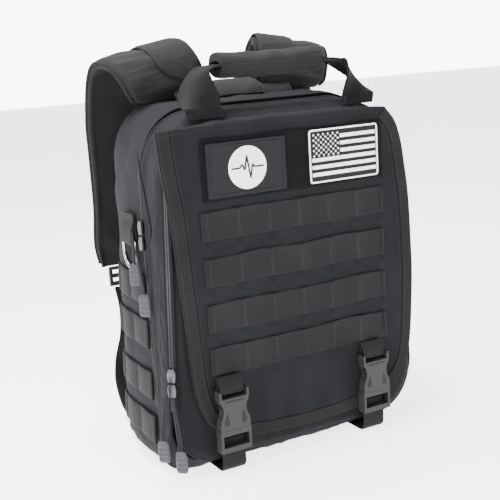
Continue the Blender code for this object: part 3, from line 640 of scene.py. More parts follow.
# %% [markdown]
# ## Main compartment
# The tub behind the slanted seam. Its side is a single gusset that puffs out a little between the
# seam and the back, with the load webbing pulling a shallow groove into it at each row.

# %%
# Main compartment
SIDE_ROW_TOPS = np.array([183.5, 142, 94, 52]) * MM
REAR = np.array([(10, 0, 0, 333, 18), (30, 1.5, 0.6, 333.5, 18), (45, 5, 2, 333.5, 18),
                 (58, 12, 4.8, 331, 18), (67, 21, 8.4, 326, 18), (72, 32, 12.8, 317, 18)]) * MM


def rear_rim(flat):
    """The rim, a hair behind the seam."""
    return on_seam(flat, -0.2 * MM)


def rear_folds(x, y, z):
    """A roll along the seam, grooves beside the side webbing and creases over the shoulders."""
    from_seam = y - seam_y(z)
    side = smooth(np.abs(x), 112 * MM, 124 * MM) * smooth(y, -30 * MM, -12 * MM)
    side = side * (1 - smooth(y, 44 * MM, 60 * MM))
    grooves = 0
    for top in SIDE_ROW_TOPS:
        off = z - (top + 9 * MM)
        grooves = grooves + 0.9 * MM * np.cos(off / (9 * MM) * math.pi / 2) ** 2 * (np.abs(off) < 9 * MM)
    shoulder = 0.9 * MM * creases(x, y, 11, 40 * MM, 2.0) * smooth(z, 285 * MM, 320 * MM)
    near_floor = (1 - smooth(z, 25 * MM, 60 * MM)) * smooth(z, 2 * MM, 9 * MM)
    low = 1.0 * MM * creases(x + z, y, 12, 48 * MM, 1.0) * near_floor
    end = smooth(from_seam, 0, 3 * MM) * (1 - smooth(y, 60 * MM, 71 * MM))
    return seam_roll(from_seam, 1.3 * MM) + (side * grooves + shoulder + low) * end


at_seam = REAR[:1] * (0, 1, 1, 1, 1) + (-8 * MM, 0, 0, -0.5 * MM, 0)
rear = tub("rear_shell", np.vstack([at_seam, REAR]), rear_rim, 2.4 * MM, 72.4 * MM, 1, 0.8 * MM, rear_folds)
put(rear, "rear_bag", "fabric", "rear_compartment")
print("rear shell:", len(rear.data.polygons), "faces")

# %% [markdown]
# ## Front compartment
# A shallow frame between the two zips. A dart with piping runs up its left side, and the cloth puffs
# between the seams.

# %%
# Front compartment
FRONT = np.array([(-55, 0, 0.8, 324.5, 24), (-62, 0.3, 3.5, 323, 32), (-69.5, 1.2, 9.5, 319, 40)]) * MM


def front_shell():
    """A sleeve from the seam to the rim, thick as its foam, with a back wall on the seam."""
    start = on_seam(loop(0, 0.6 * MM, SEAM_TOP), 0.2 * MM)
    tall = np.stack([start] + [at_depth(loop(*station[1:]), station[0]) for station in FRONT])
    share = np.linspace(0, 1, 30)
    place = share * (len(tall) - 1)
    k = np.minimum(place.astype(int), len(tall) - 2)
    outer = tall[k] + (tall[k + 1] - tall[k]) * (place - k)[:, None, None]
    normal = outward(outer)
    z = outer[..., 2]
    u = np.arange(outer.shape[1])[None] / outer.shape[1] * GIRTH
    v = share[:, None] * 0.04
    grow = np.sin(share * math.pi)[:, None]
    waves = 0.7 * MM * ripple(u, v, 21, 60 * MM, 0.5) + 0.35 * MM * ripple(u, v, 22, 18 * MM)
    height = seam_roll(seam_y(z) - outer[..., 1], 1.5 * MM) + grow * (0.8 * MM + waves)
    height = height + grow * 1.2 * MM * creases(u, v, 23, 55 * MM, 0.7) * (1 - smooth(z, 40 * MM, 110 * MM))
    skin = outer + normal * height[..., None]
    skin[..., 2] = np.maximum(skin[..., 2], 0.5 * MM)
    inner = outer - normal * 2.4 * MM
    back = inner[0] + np.array([0, -2.4 * MM, 0])
    fills = [on_seam(shrunk(back, s)[:, ::2], 2.6 * MM) for s in (0.9, 0.7, 0.4, 0.08)]
    wall = [on_seam(shrunk(start, s)[:, ::2], 0.2 * MM) for s in (0.08, 0.4, 0.7, 0.9)]
    grid = np.concatenate([np.stack(wall), skin, inner[1:][::-1], back[None], np.stack(fills)])
    outside = (len(wall) + len(skin)) * grid.shape[1]
    return lined(surface("front_shell", grid, LOOKS["nylon"], sharp=50), outside, None)


front = put(front_shell(), "front_bag", "fabric", "front_compartment")
dart = curve(np.array([(-131.2, -34, 298), (-132.6, -45, 268), (-133.2, -55, 240),
                       (-133.6, -57, 228), (-134.6, -53, 216)]) * MM, 40)
dart_radius = np.interp(np.linspace(0, 1, 40), (0, 0.25, 0.8, 1), (0.3, 1.1, 1.1, 0.3)) * MM
put(tube("side_dart", dart, dart_radius, LOOKS["nylon"]), "front_bag", None)
print("front shell:", len(front.data.polygons), "faces")

# %% [markdown]
# ## Cover
# The zipped front panel that the flap hangs over. Only its left edge and low corners show.

# %%
# Cover
COVER_EDGE = (7 * MM, 10 * MM, 310 * MM)


def cover_panel():
    """A padded panel: a rounded front that swells towards its middle, and a flat lining behind."""
    edge = loop(*COVER_EDGE, 43 * MM)
    lining = ((0.02, -70.4), (0.5, -70.3), (0.98, -70.2), (1.0, -71.0), (1.003, -73.5))
    rows = [at_depth(shrunk(edge, share), y * MM) for share, y in lining]
    for share in np.concatenate([np.linspace(1.0, 0.9, 12), np.linspace(0.87, 0.02, 34)]):
        flat = shrunk(edge, share)
        y = -74.5 * MM - 2.6 * MM * smooth(1 - share, 0, 0.045)
        fold = 0.9 * MM * creases(flat[:, 0], flat[:, 1], 31, 46 * MM, 0.6) * smooth(1 - share, 0.01, 0.06)
        fold = fold * (0.25 + 0.75 * (1 - smooth(flat[:, 1], 60 * MM, 140 * MM)))
        rows.append(at_depth(flat, y + fold))
    return surface("cover_panel", np.stack(rows), LOOKS["nylon"], sharp=50)


cover = put(cover_panel(), "front_cover", "fabric", "front_cover")
print("cover:", len(cover.data.polygons), "faces")

# %% [markdown]
# ## Flap
# One layer of nylon with a stiffener. Rows of webbing gather it a little, which leaves soft puckers
# between them; below the last row it hangs in shallow upright waves. Ribbed tape binds its edge.

# %%
# Flap
FLAP_FACE = -82 * MM
FLAP_LEFT = np.array([(-133, 316), (-130, 280), (-125, 245), (-122.5, 207), (-119, 150), (-116, 98),
                      (-112, 72), (-104, 52), (-92, 39), (-74, 30.5), (-50, 26.5), (-24, 24.5), (0, 24)]) * MM
FLAP_RIGHT = np.array([(104, 316), (114, 304), (120, 287), (124, 264), (128.5, 224), (130.3, 163),
                       (128, 98), (121, 64), (110, 47), (97, 37), (76, 29), (50, 25.5), (24, 24.3),
                       (0, 24)]) * MM
ROW_TOPS = np.array([243, 202, 160, 119]) * MM
ROW = 26 * MM
CELLS = np.array([-92, -60.5, -29, 2.5, 34, 65.5, 95]) * MM


def flap_wave(x, z):
    """How far the flap's face bulges forward at x, z."""
    pucker = 0
    for top in ROW_TOPS[1:]:
        gap = np.clip(1 - np.abs(z - top - 7.5 * MM) / (8 * MM), 0, 1)
        near = np.abs((x[..., None] - CELLS)).min(axis=-1)
        pucker = pucker + gap * (2.2 * MM * np.exp(-(near / (4 * MM)) ** 2) - 0.5 * MM)
    within = smooth(x, -105 * MM, -92 * MM) * (1 - smooth(x, 92 * MM, 105 * MM))
    low = 1 - smooth(z, 84 * MM, 100 * MM)
    hang = 1.3 * MM * np.cos(x / (23 * MM) * TAU / 2 + 2.2 * np.sin(x / (61 * MM)))
    hang = hang * low * smooth(z, 26 * MM, 60 * MM)
    broad = 0.5 * MM * ripple(x, z, 41, 110 * MM, 0.6) + 0.25 * MM * ripple(x, z, 42, 34 * MM, 0.5)
    top = 0.8 * MM * creases(x, z, 43, 60 * MM, 1.6) * smooth(z, 300 * MM, 312 * MM)
    left = 0.8 * MM * creases(x, z, 44, 70 * MM, 0.4) * (1 - smooth(x, -120 * MM, -96 * MM))
    return (pucker * within + hang * within + broad + top + left) * smooth(z, 24 * MM, 32 * MM)


def flap_edges(count):
    """Heights down the flap, closer together at its round bottom, and x of its two edges there."""
    straight = int(count * 0.7)
    low = 24.15 + 35 * np.linspace(1, 0, count - straight) ** 1.6
    z = np.concatenate([np.linspace(316, 60, straight), low]) * MM
    left, right = curve(FLAP_LEFT, 300), curve(FLAP_RIGHT, 300)
    return z, np.interp(-z, -left[:, 1], left[:, 0]), np.interp(-z, -right[:, 1], right[:, 0])


def flap_panel():
    """A thin panel whose face bulges by flap_wave and rounds off beside its edges."""
    z, left, right = flap_edges(190)
    share = (1 - np.cos(np.linspace(0, math.pi, 150))) / 2
    share = 0.35 * share + 0.65 * np.linspace(0, 1, 150)
    x = left[:, None] + (right - left)[:, None] * share
    up = np.broadcast_to(z[:, None], x.shape)
    rim = np.minimum(x - left[:, None], right[:, None] - x)
    round_edge = 1.0 * MM * (1 - smooth(rim, -0.5 * MM, 1.6 * MM))
    wave = flap_wave(x, up)
    face = xyz(x, FLAP_FACE - wave + round_edge, up)
    back = xyz(x, -78.7 * MM - 0.3 * wave - 0.6 * round_edge, up)
    return surface("flap_panel", np.concatenate([face, back[:, ::-1]], axis=1), LOOKS["nylon"], sharp=50)


def flap_line(edge, inset, count=150):
    """A line that runs inset metres inside one edge of the flap, and its inward direction."""
    line = even(curve(edge, 300), count)
    ahead = slope(line)
    hand = 1 if edge is FLAP_LEFT else -1
    inward = np.stack([-ahead[:, 1], ahead[:, 0]], axis=1) * hand
    inward[-1] = (0, 1)
    return line + inward * inset, inward


def binding():
    """The tape along both edges, met at the bottom in the middle."""
    left, way_l = flap_line(FLAP_LEFT, 6.2 * MM)
    right, way_r = flap_line(FLAP_RIGHT, 6.2 * MM)
    line = np.vstack([left, right[::-1][1:]])
    way = np.vstack([way_l, way_r[::-1][1:]])
    ribs = 0.12 * MM * np.cos(np.linspace(0, 1, len(line)) * 900)
    path = at_depth(line, -82.55 * MM - flap_wave(line[:, 0], line[:, 1]) - ribs)

    def lift(t, a, w):
        """Fine ribs across the tape."""
        return 0.22 * MM * np.sin(t * 700) * (1 - (a / w) ** 2)

    return strap("flap_tape", path, at_depth(way, 0.05), 5.6 * MM, 0.55 * MM, LOOKS["tape"], lift=lift)


flap = put(flap_panel(), "flap", "fabric", "flap")
put(binding(), "flap", "edge_tape", "flap_binding")


def flap_head():
    """The flap's sewn end, which turns over the front edge of the bag's top: a profile of y, z and
    the share by which it follows the top's outline down at the corners, carried along x."""
    x = np.linspace(-126, 104, 130) * MM
    rim = loop(1.2 * MM, 9.5 * MM, 319 * MM)
    rim = rim[rim[:, 1] > 200 * MM]
    rim = rim[np.argsort(rim[:, 0])]
    high = np.interp(x, rim[:, 0], rim[:, 1])
    fall = np.clip(high - 319 * MM, -15 * MM, 0)
    keep = smooth(np.minimum(x + 126 * MM, 104 * MM - x), 0, 12 * MM)
    shape = ((-82.5, 312.5, 0), (-82.5, 315.2, 0), (-81.3, 317.6, 0.05), (-78.8, 319.1, 0.2),
             (-75.5, 319.8, 0.55), (-71.5, 320.6, 1), (-67.0, 322.8, 1), (-63.0, 324.2, 1))
    rows = []
    for y, z, share in curve(np.array(shape), 26):
        wave = 0.5 * MM * ripple(x, y * MM, 46, 30 * MM)
        rows.append(xyz(x, y * MM - 0.2 * MM * keep, z * MM + fall * share + wave * keep))
    outer = np.stack(rows, axis=1)
    inner = outer + np.array([0, 0.7 * MM, -0.7 * MM])
    return surface("flap_head", np.concatenate([outer, inner[:, ::-1]], axis=1), LOOKS["nylon"], sharp=60)


head = flap_head()
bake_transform(head)
runs = []
for edge in (FLAP_LEFT, FLAP_RIGHT):
    for inset in (2.2 * MM, 10.4 * MM, 14.5 * MM):
        line = flap_line(edge, inset)[0]
        on_tape = 1.15 * MM if inset < 12 * MM else 0.12 * MM
        runs.append((at_depth(line, FLAP_FACE - flap_wave(line[:, 0], line[:, 1]) - on_tape), FORWARD))
sew("flap_stitches", runs, LOOKS["thread"], "flap", 3.2 * MM, 0.26 * MM)
print("flap:", len(flap.data.polygons), "faces")

# %% [markdown]
# ## Load webbing
# Inch-wide webbing is sewn down every 31 mm, so each loop between two tacks bows out a little and
# its edges curl. The ends are folded under. Bar tacks are drawn as two short columns of stitches.

# %%
# Load webbing
TACK = np.linspace(-11.5, 11.5, 12) * MM
TACK_COLUMNS = (-0.8 * MM, 0.8 * MM)


def bowed(cells, share_of, bow, end_fold):
    """Extra height of a strap that is tacked at the cells: a low arch between each two, with the
    edges a little lower than the middle, and a step at the folded ends."""

    def lift(t, a, w):
        """The height at the share t of the length, a metres across a half width of w."""
        place = share_of(t)
        k = np.clip(np.searchsorted(cells, place), 1, len(cells) - 1)
        s = np.clip((place - cells[k - 1]) / (cells[k] - cells[k - 1]), 0, 1)
        arch = np.sin(s * math.pi) ** 0.7
        from_end = np.minimum(place - share_of(np.zeros(1)), share_of(np.ones(1)) - place)
        fold = end_fold * (1 - smooth(from_end, 4 * MM, 6 * MM))
        return bow * arch * (1 - 0.45 * (a / w) ** 4) - 0.35 * MM * (1 - arch) + fold

    return lift


tacks = []
for number, row_top in enumerate(ROW_TOPS, start=1):
    x = np.linspace(-97, 97, 260) * MM
    z = np.full(260, row_top - ROW / 2) + 0.5 * MM * ripple(x, 0 * x, 50 + number, 90 * MM)
    y = -83.45 * MM - 0.45 * flap_wave(x, z)
    lift = bowed(CELLS, lambda t: -97 * MM + 194 * MM * t, 1.7 * MM, 0.9 * MM)
    half = ROW / 2 - 0.3 * MM * np.cos(x * 70)
    row = strap(f"load_row_{number}", xyz(x, y, z), (0, 0, 1), half, 0.75 * MM, LOOKS["webbing"], lift=lift)
    put(row, "flap", "webbing", f"load_webbing_{number}")
    for cell in CELLS:
        for shift in TACK_COLUMNS:
            tacks.append((xyz(cell + shift, np.interp(cell, x, y) - 0.75 * MM, z[0] + TACK), FORWARD))
sew("row_tacks", tacks, LOOKS["thread"], "flap", 1.7 * MM, 0.38 * MM)
print(len(ROW_TOPS), "rows,", len(CELLS), "tacks each")

# %% [markdown]
# ## Loop field and patches
# A strip of loop fabric holds two moulded patches. Each patch is a thin plate with a raised frame:
# one carries a plain white disc with a pulse line, the other stars and stripes in white on black.

# %%
# Loop field and patches
PATCH_BACK = -83.9 * MM
EMBLEM = (-89 * MM, -9.5 * MM, 253.5 * MM, 302 * MM)
FLAG = (14.5 * MM, 91.5 * MM, 254 * MM, 304 * MM)


def plate(name, limits, thick, look, radius=2.6 * MM, count=60):
    """A plate with round corners: a square grid whose corner points are pulled in to an arc, and
    whose front drops to the back within a millimetre of its edge."""
    x0, x1, z0, z1 = limits
    hx, hz = (x1 - x0) / 2, (z1 - z0) / 2
    line = np.sin(np.linspace(-1, 1, count) * math.pi / 2)
    x, z = np.meshgrid(line * hx, line * hz)
    dx, dz = np.abs(x) - (hx - radius), np.abs(z) - (hz - radius)
    far = np.hypot(dx, dz)
    corner = (dx > 0) & (dz > 0)
    pull = np.where(corner, np.maximum(dx, dz) / np.maximum(far, 1e-9), 1)
    x = np.where(corner, np.sign(x) * (hx - radius + dx * pull), x)
    z = np.where(corner, np.sign(z) * (hz - radius + dz * pull), z)
    edge = np.minimum(hx - np.abs(x), hz - np.abs(z))
    front_side = xyz(x, PATCH_BACK - thick * smooth(edge, -0.3 * MM, 0.6 * MM), z)
    back_side = xyz(x, PATCH_BACK, z)[:, ::-1]
    middle = np.array([(x0 + x1) / 2, 0, (z0 + z1) / 2])
    return surface(name, np.concatenate([front_side, back_side], axis=1) + middle, look, sharp=45)


def raised(name, outlines, y_back, thick, look):
    """Flat shapes with straight sides, each given as a closed line of x and z round its own middle."""
    points, faces, start = [], [], 0
    for flat in outlines:
        count = len(flat)
        for y, keep in ((y_back, 1.0), (y_back - 0.7 * thick, 1.0), (y_back - thick, 0.94)):
            points.append(at_depth(shrunk(flat, keep), y))
        k = np.arange(count)
        for row in (0, 1):
            a, b = start + row * count + k, start + row * count + (k + 1) % count
            faces += np.stack([a, b, b + count, a + count], axis=1).tolist()
        faces += [list(range(start, start + count)), list(range(start + 2 * count, start + 3 * count))]
        start += 3 * count
    return finish_mesh(name, np.vstack(points), faces, look, sharp=30)


def field():
    """A flat strip that follows the flap a little, with a fine random nap."""
    x = np.linspace(-93, 97, 120) * MM
    z = np.full(120, 278.5 * MM)
    path = xyz(x, -82.95 * MM - 0.3 * flap_wave(x, z), z)

    def lift(t, a, w):
        """The nap: a random height with 3 mm waves."""
        return 0.18 * MM * ripple(t * 190 * MM + 0 * a, a + 0 * t, 61, 3 * MM)

    return strap("loop_field", path, (0, 0, 1), 27.3 * MM, 0.5 * MM, LOOKS["loop"], flat=40, lift=lift)


put(field(), "flap", "loop_fabric", "loop_field")
put(plate("emblem_patch", EMBLEM, 1.6 * MM, LOOKS["rubber"]), "flap", "patch_rubber", "patch_emblem")
CUT, ROUND = 2 * MM, 0.6 * MM
x0, x1, z0, z1 = (e + s * 3.2 * MM for e, s in zip(EMBLEM, (1, -1, 1, -1)))
corners = np.array([(x0 + CUT, z0), (x1 - CUT, z0), (x1, z0 + CUT), (x1, z1 - CUT),
                    (x1 - CUT, z1), (x0 + CUT, z1), (x0, z1 - CUT), (x0, z0 + CUT)])
ring = at_depth(corners, PATCH_BACK - 1.6 * MM)
put(tube("emblem_frame", ring, 0.55 * MM, LOOKS["rubber"], closed=True), "flap", None)
middle = np.array([(x0 + x1) / 2, (z0 + z1) / 2])
turn = np.linspace(0, TAU, 72, endpoint=False)
disc = middle + 19 * MM * np.stack([np.cos(turn), np.sin(turn)], axis=1)
put(raised("emblem_disc", [disc], PATCH_BACK - 1.55 * MM, 0.5 * MM, LOOKS["white"]), "flap", None)
pulse = np.array([(-16, 0), (-8, 0), (-5.5, 3), (-3, -2), (-0.5, 10.5),
                  (2.5, -9.5), (5, 2.5), (7, 0), (16, 0)])
pulse = at_depth(pulse * MM + middle, PATCH_BACK - 2.05 * MM)
put(tube("emblem_pulse", even(pulse, 90), 0.75 * MM, LOOKS["rubber"]), "flap", None)

put(plate("flag_patch", FLAG, 1.5 * MM, LOOKS["rubber"]), "flap", "patch_rubber", "patch_flag")
x0, x1, z0, z1 = (e + s * 1.3 * MM for e, s in zip(FLAG, (1, -1, 1, -1)))
corners = np.array([(x0 + CUT, z0), (x1 - CUT, z0), (x1 - ROUND, z0 + ROUND), (x1, z0 + CUT),
                    (x1, z1 - CUT), (x1 - ROUND, z1 - ROUND), (x1 - CUT, z1), (x0 + CUT, z1),
                    (x0 + ROUND, z1 - ROUND), (x0, z1 - CUT), (x0, z0 + CUT), (x0 + ROUND, z0 + ROUND)])
ring = at_depth(corners, PATCH_BACK - 1.5 * MM)
put(tube("flag_border", ring, 0.8 * MM, LOOKS["white"], closed=True), "flap", None)
x0, x1, z0, z1 = x0 + CUT, x1 - CUT, z0 + CUT, z1 - CUT
band = (z1 - z0) / 13
canton_x, canton_z = x0 + 0.44 * (x1 - x0), z1 - 7 * band
bars = []
for number in range(1, 13, 2):
    high = z1 - number * band
    left = canton_x if high > canton_z else x0
    bars.append(np.array([(left, high - band), (x1, high - band), (x1, high), (left, high)]))
put(raised("flag_stripes", bars, PATCH_BACK - 1.45 * MM, 0.55 * MM, LOOKS["white"]), "flap", None)
stars = []
arms = np.radians(90 + 36 * np.arange(10))
reach = np.where(np.arange(10) % 2 == 0, 1.25, 0.52)[:, None]
star = np.stack([np.cos(arms), np.sin(arms)], axis=1) * reach * MM
for row in range(9):
    for column in range(row % 2, 11, 2):
        place = (x0 + (column + 0.9) / 11.8 * (canton_x - x0), z1 - (row + 0.9) / 9.8 * (z1 - canton_z))
        stars.append(star + place)
put(raised("flag_stars", stars, PATCH_BACK - 1.45 * MM, 0.5 * MM, LOOKS["white"]), "flap", None)
print(len(stars), "stars,", len(bars), "stripes")

# %% [markdown]
# ## Side webbing and D-rings
# Four rows a side, sewn into the seam in front and tacked before their folded rear end. A D-ring
# hangs on each side in a short loop of webbing.

# %%
# Side webbing and D-rings
SIDES = ((-1, "left"), (1, "right"))


def side_at(z, y, hand):
    """x of the main compartment's side at height z and depth y."""
    inset = np.interp(y, REAR[:, 0], REAR[:, 1])
    sag = 0.0
    if hand > 0:
        low = np.clip(RIGHT_RADIUS - z, 0, RIGHT_RADIUS)
        sag = RIGHT_RADIUS - np.sqrt(RIGHT_RADIUS ** 2 - low ** 2)
    return hand * (half_at(z) - inset - sag)


def side_row(number, row_top, hand, word):
    """A row of webbing over the side, from the seam to its folded end; gives its tacks back."""
    z = row_top - 13.5 * MM
    y = np.linspace(float(seam_y(z)) + 5.2 * MM, 48 * MM, 110)
    off = hand * 1.9 * MM
    mid, low, high = (side_at(z + up * MM, y, hand) for up in (0, -12, 12))
    sag = 1.2 * MM * np.sin(np.linspace(0, math.pi, 110)) * (number % 2 - 0.4)
    path = xyz(mid + off, y, z - sag)
    across = xyz(high - low, 0, 24 * MM) * -hand
    cells = np.array([y[0], y[0] + 34 * MM, 33 * MM, 44 * MM])
    arch = bowed(cells, lambda t: y[0] + (y[-1] - y[0]) * t, 1.7 * MM, 0.5 * MM)
    row = strap(f"side_row_{word}_{number}", path, across, 13.4 * MM, 0.8 * MM, LOOKS["webbing"], lift=arch)
    put(row, "rear_bag", "webbing", f"side_webbing_{word}_{number}")
    lines = []
    for spot in cells[1:3]:
        slant = (np.interp(spot, y, high) - np.interp(spot, y, low)) / (24 * MM)
        for shift in TACK_COLUMNS:
            at = np.interp(spot + shift, y, mid + off) + hand * 0.7 * MM
            lines.append((xyz(at + TACK * slant, spot + shift, z + TACK), (hand, 0, 0)))
    return lines


for hand, word in SIDES:
    lines = []
    for number, row_top in enumerate(SIDE_ROW_TOPS, start=1):
        lines += side_row(number, row_top, hand, word)
    sew(f"side_tacks_{word}", lines, LOOKS["thread"], "rear_bag", 1.7 * MM, 0.38 * MM)

RING = np.array([-3 * MM, 212 * MM])
RING_HALF, RING_WIRE, TAB_BEND = 14.5 * MM, 1.75 * MM, 2.75
for hand, word in SIDES:
    x = float(half_at(RING[1])) + 3.9 * MM
    angles = np.radians(np.linspace(0, -180, 31))
    arc = np.stack([RING_HALF * np.cos(angles), -11 * MM + RING_HALF * np.sin(angles)], axis=1)
    bar = np.array([(-7, 0), (0, 0), (7, 0), (12.4, -0.1), (13.9, -0.8), (14.5, -2.5)]) * MM
    shape = np.vstack([bar, arc, bar[:2:-1] * (-1, 1)])
    path = xyz(hand * x, RING[0] + shape[:, 0], RING[1] + shape[:, 1])
    ring = tube(f"ring_{word}", path, RING_WIRE, LOOKS["steel"], 16, closed=True)
    put(ring, f"d_ring_{word}", "bright_steel", f"d_ring_{word}")
    turn = np.radians(np.linspace(0, 180, 13))
    bend = -TAB_BEND * np.stack([np.cos(turn), np.sin(turn)], axis=1)
    tab_line = np.vstack([[(-TAB_BEND, 26), (-TAB_BEND, 12)], bend,
                          [(TAB_BEND, 5), (1.5, 13), (-0.9, 19), (-0.9, 26)]])
    tab_line = curve(tab_line * MM, 70)
    path = xyz(hand * (x + tab_line[:, 0]), RING[0], RING[1] + tab_line[:, 1])
    tab = strap(f"tab_{word}", path, (0, hand, 0), 12.2 * MM, 0.6 * MM, LOOKS["webbing"])
    put(tab, "rear_bag", "webbing", f"ring_tab_{word}")
print("8 side rows, 2 D-rings")

# %% [markdown]
# ## Zips
# The main zip is a black coil in the seam. The front zip has two rows of bright metal teeth on woven
# tape. Teeth and coil turns are one small bead, repeated along the line of the zip.

# %%
# Zips


def arch(inset, low, top, start_z, radius, right_z=0.0, count=700):
    """The outline without its underside: up the right side, over the top, down the left one."""
    flat = loop(inset, low, top, radius, count)
    flat = np.roll(flat, -int(np.argmin(flat[:, 1] + np.abs(flat[:, 0]) * 1e-3)), axis=0)
    kept = flat[flat[:, 1] >= np.where(flat[:, 0] > 0, max(start_z, right_z), start_z)]
    line = even(kept if kept[0, 0] > 0 else kept[::-1], count)
    ahead = slope(line)
    return line, np.stack([ahead[:, 1], -ahead[:, 0]], axis=1)


line, away = arch(0, 0.6 * MM, SEAM_TOP, 62 * MM, LOW_RADIUS)
path = at_depth(line + away * 0.95 * MM, seam_y(line[:, 1]))
out = at_depth(away, 0)
across = np.cross(slope(path), out)
tape = strap("main_zip_tape", path, across, 2.9 * MM, 0.35 * MM, LOOKS["coil"])
put(tape, "front_bag", "zip_coil", "main_zip")
turns = 620
coil = even(path + out * 0.45 * MM, turns), even(across, turns), even(out, turns)
put(beads("main_zip_coil", *coil, 1.5 * MM, 0.45 * MM, LOOKS["coil"]), "front_bag", None)

line, away = arch(*COVER_EDGE, 66 * MM, 36 * MM, 105 * MM)
ZIP_Y, ZIP_OUT = -73.6 * MM, 4.4 * MM
path = at_depth(line + away * ZIP_OUT, ZIP_Y)
across, out = unit(at_depth(away, 1)), unit(at_depth(away, -1))
tape = strap("front_zip_tape", path, np.cross(slope(path), out), 4.3 * MM, 0.35 * MM, LOOKS["nylon"])
put(tape, "front_cover", "fabric")
count = int(np.linalg.norm(np.diff(path, axis=0), axis=1).sum() / (0.95 * MM))
sides, outs = unit(even(across, count)), unit(even(out, count))
odd = np.where(np.arange(count) % 2 == 0, 1, -1)[:, None]
places = even(path, count) + outs * 0.55 * MM + sides * odd * 1.2 * MM
teeth = beads("front_zip_teeth", places, sides, outs, 0.85 * MM, 0.42 * MM, LOOKS["teeth"])
put(teeth, "front_cover", "zip_teeth", "front_zip")
print(count, "teeth")

# %% [markdown]
# ## Sliders and pulls
# A die-cast slider with rounded edges, and a cord loop with a moulded rubber tab knotted into it.

# %%
# Sliders and pulls


def polish(node, look, width, segments=3):
    """Give a hard piece rounded edges and its finish."""
    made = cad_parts[node]
    if width:
        bevel = made.modifiers.new("edges", "BEVEL")
        bevel.width = width
        bevel.segments = segments
        bevel.limit_method = "ANGLE"
        bevel.angle_limit = math.radians(28)
    made.data.materials.clear()
    made.data.materials.append(look)
    return made


TAB = 21 * MM


def pull_tab(name, top_spot, hinge, face, length, lean, body):
    """The pull: two strands of cord and a ridged tab, hanging from the slider.  The middle line
    drops straight down and moves sideways, by lean, until the cord meets the tab."""
    hinge, down = unit(np.asarray(hinge, float)), np.array((0, 0, -1.0))
    hang = length - TAB

    def spot(far):
        """The place far metres below the slider."""
        return top_spot + down * far[..., None] + hinge * (lean * np.clip(far / hang, 0, 1))[..., None]

    s = np.linspace(0, 1, 24)
    gap = 1.25 * MM * np.sin(np.clip(s * 1.6, 0, 1) * math.pi / 2) * (1 - 0.15 * s)
    far = s * (hang + 2.5 * MM)
    one, two = spot(far) + hinge * gap[:, None], spot(far) - hinge * gap[:, None]
    both = np.vstack([one[::-1], two[1:]])
    put(tube(f"{name}_cord", even(both, 90), 1.05 * MM, LOOKS["cord"]), body, None)
    reach = np.linspace(hang, length, 46)
    share = (reach - hang) / TAB
    wide = np.interp(share, (0, 0.05, 0.2, 0.86, 0.96, 1), (2.6, 4.3, 5.3, 5.5, 5.0, 3.6)) * MM
    thick = np.interp(share, (0, 0.06, 0.9, 1), (1.3, 2.0, 1.9, 1.0)) * MM

    def lift(t, a, w):
        """Cross ridges on the tab's grip."""
        ridges = 0.35 * MM * np.sin(t * TAU * 4.5 - 1.2) * smooth(t, 0.15, 0.25) * (1 - smooth(t, 0.78, 0.88))
        return ridges * (1 - (a / w) ** 6)

    tab = strap(f"{name}_tab", spot(reach), face, wide, thick, LOOKS["grey"], lift=lift, sharp=40)
    return put(tab, body, "pull_rubber", f"{name}_pull")


for number, (height, shift, lean, length) in enumerate(((228, -2.6, -1.2, 50), (214, 2.6, 11, 61)), start=1):
    z = height * MM
    spot = np.array([-float(half_at(z)) - 2.4 * MM, float(seam_y(z)), z])
    top = spot + np.array([-8.6 * MM, -shift * MM, -3 * MM])
    face = (0.75, -0.66, 0)
    pull_tab(f"main_{number}", top, FORWARD, face, length * MM, lean * MM, f"main_pull_{number}")
    polish(f"main_{number}_slider", LOOKS["zinc"], 0.5 * MM)
away, hinge = unit(np.array((-1.0, -1.0, 0.0))), unit(np.array((1.0, -1.0, 0.0)))
for number, (height, shift, lean, length) in enumerate(((101, -2.6, -7.5, 77), (87, 2.6, 4, 72)), start=1):
    z = height * MM
    spot = np.array([-float(half_at(z)) + COVER_EDGE[0] - ZIP_OUT, ZIP_Y, z]) + away * 1.3 * MM
    top = spot + away * 8.6 * MM + hinge * shift * MM + np.array((0, 0, -3 * MM))
    pull_tab(f"front_{number}", top, hinge, hinge, length * MM, lean * MM, f"front_pull_{number}")
    polish(f"front_{number}_slider", LOOKS["zinc"], 0.5 * MM)
print("4 sliders and pulls")

# %% [markdown]
# ## Buckles and closing straps
# Side-release buckles: hard mouldings keep their shape and get rounded edges. The webbing is a plain
# strap along a curve through the bar, and from the lower half straight down and under the bag.

# %%
# Buckles and closing straps
BUCKLE_X = {"left": -82 * MM, "right": 75 * MM}
LOOP_KNOTS = ((-83.5, 92.2), (-84.0, 88), (-85.4, 83), (-86.1, 80), (-86.2, 78.2), (-87.1, 77), (-88.4, 76.7),
              (-89.7, 77), (-90.6, 78.2), (-90.7, 80), (-90.2, 83.5), (-87.8, 88.5), (-85.4, 92.2))
CLOSING_KNOTS = ((-86.5, 34), (-86.5, 26), (-86.5, 18), (-86.5, 11), (-85.9, 5.6), (-82.9, 2.2), (-78.5, 1.2),
                 (-72, 1.2))
ANCHOR = np.array([(-72.4, 1.2), (-67, 1.15), (-62, 1.05), (-57, 0.95)]) * MM
DROP = np.array([(6.2, 50.2), (7.6, 48.6), (9.6, 48.4), (11.2, 49.6), (11.6, 51.6), (10.8, 54.4),
                 (9.4, 57.6), (8.6, 61.2), (7.9, 61.2), (7.2, 57.6), (6.2, 53.6)]) * MM
SLOT = np.array([(-9.5, 70.2), (9.5, 70.2), (9.5, 72.2), (-9.5, 72.2)]) * MM
RIGHT = (1, 0, 0)


def upright(x, knots, count=120):
    """A smooth line in the upright plane at x, through knots of y and z in millimetres."""
    line = curve(np.array(knots) * MM, count)
    return xyz(x, line[:, 0], line[:, 1])


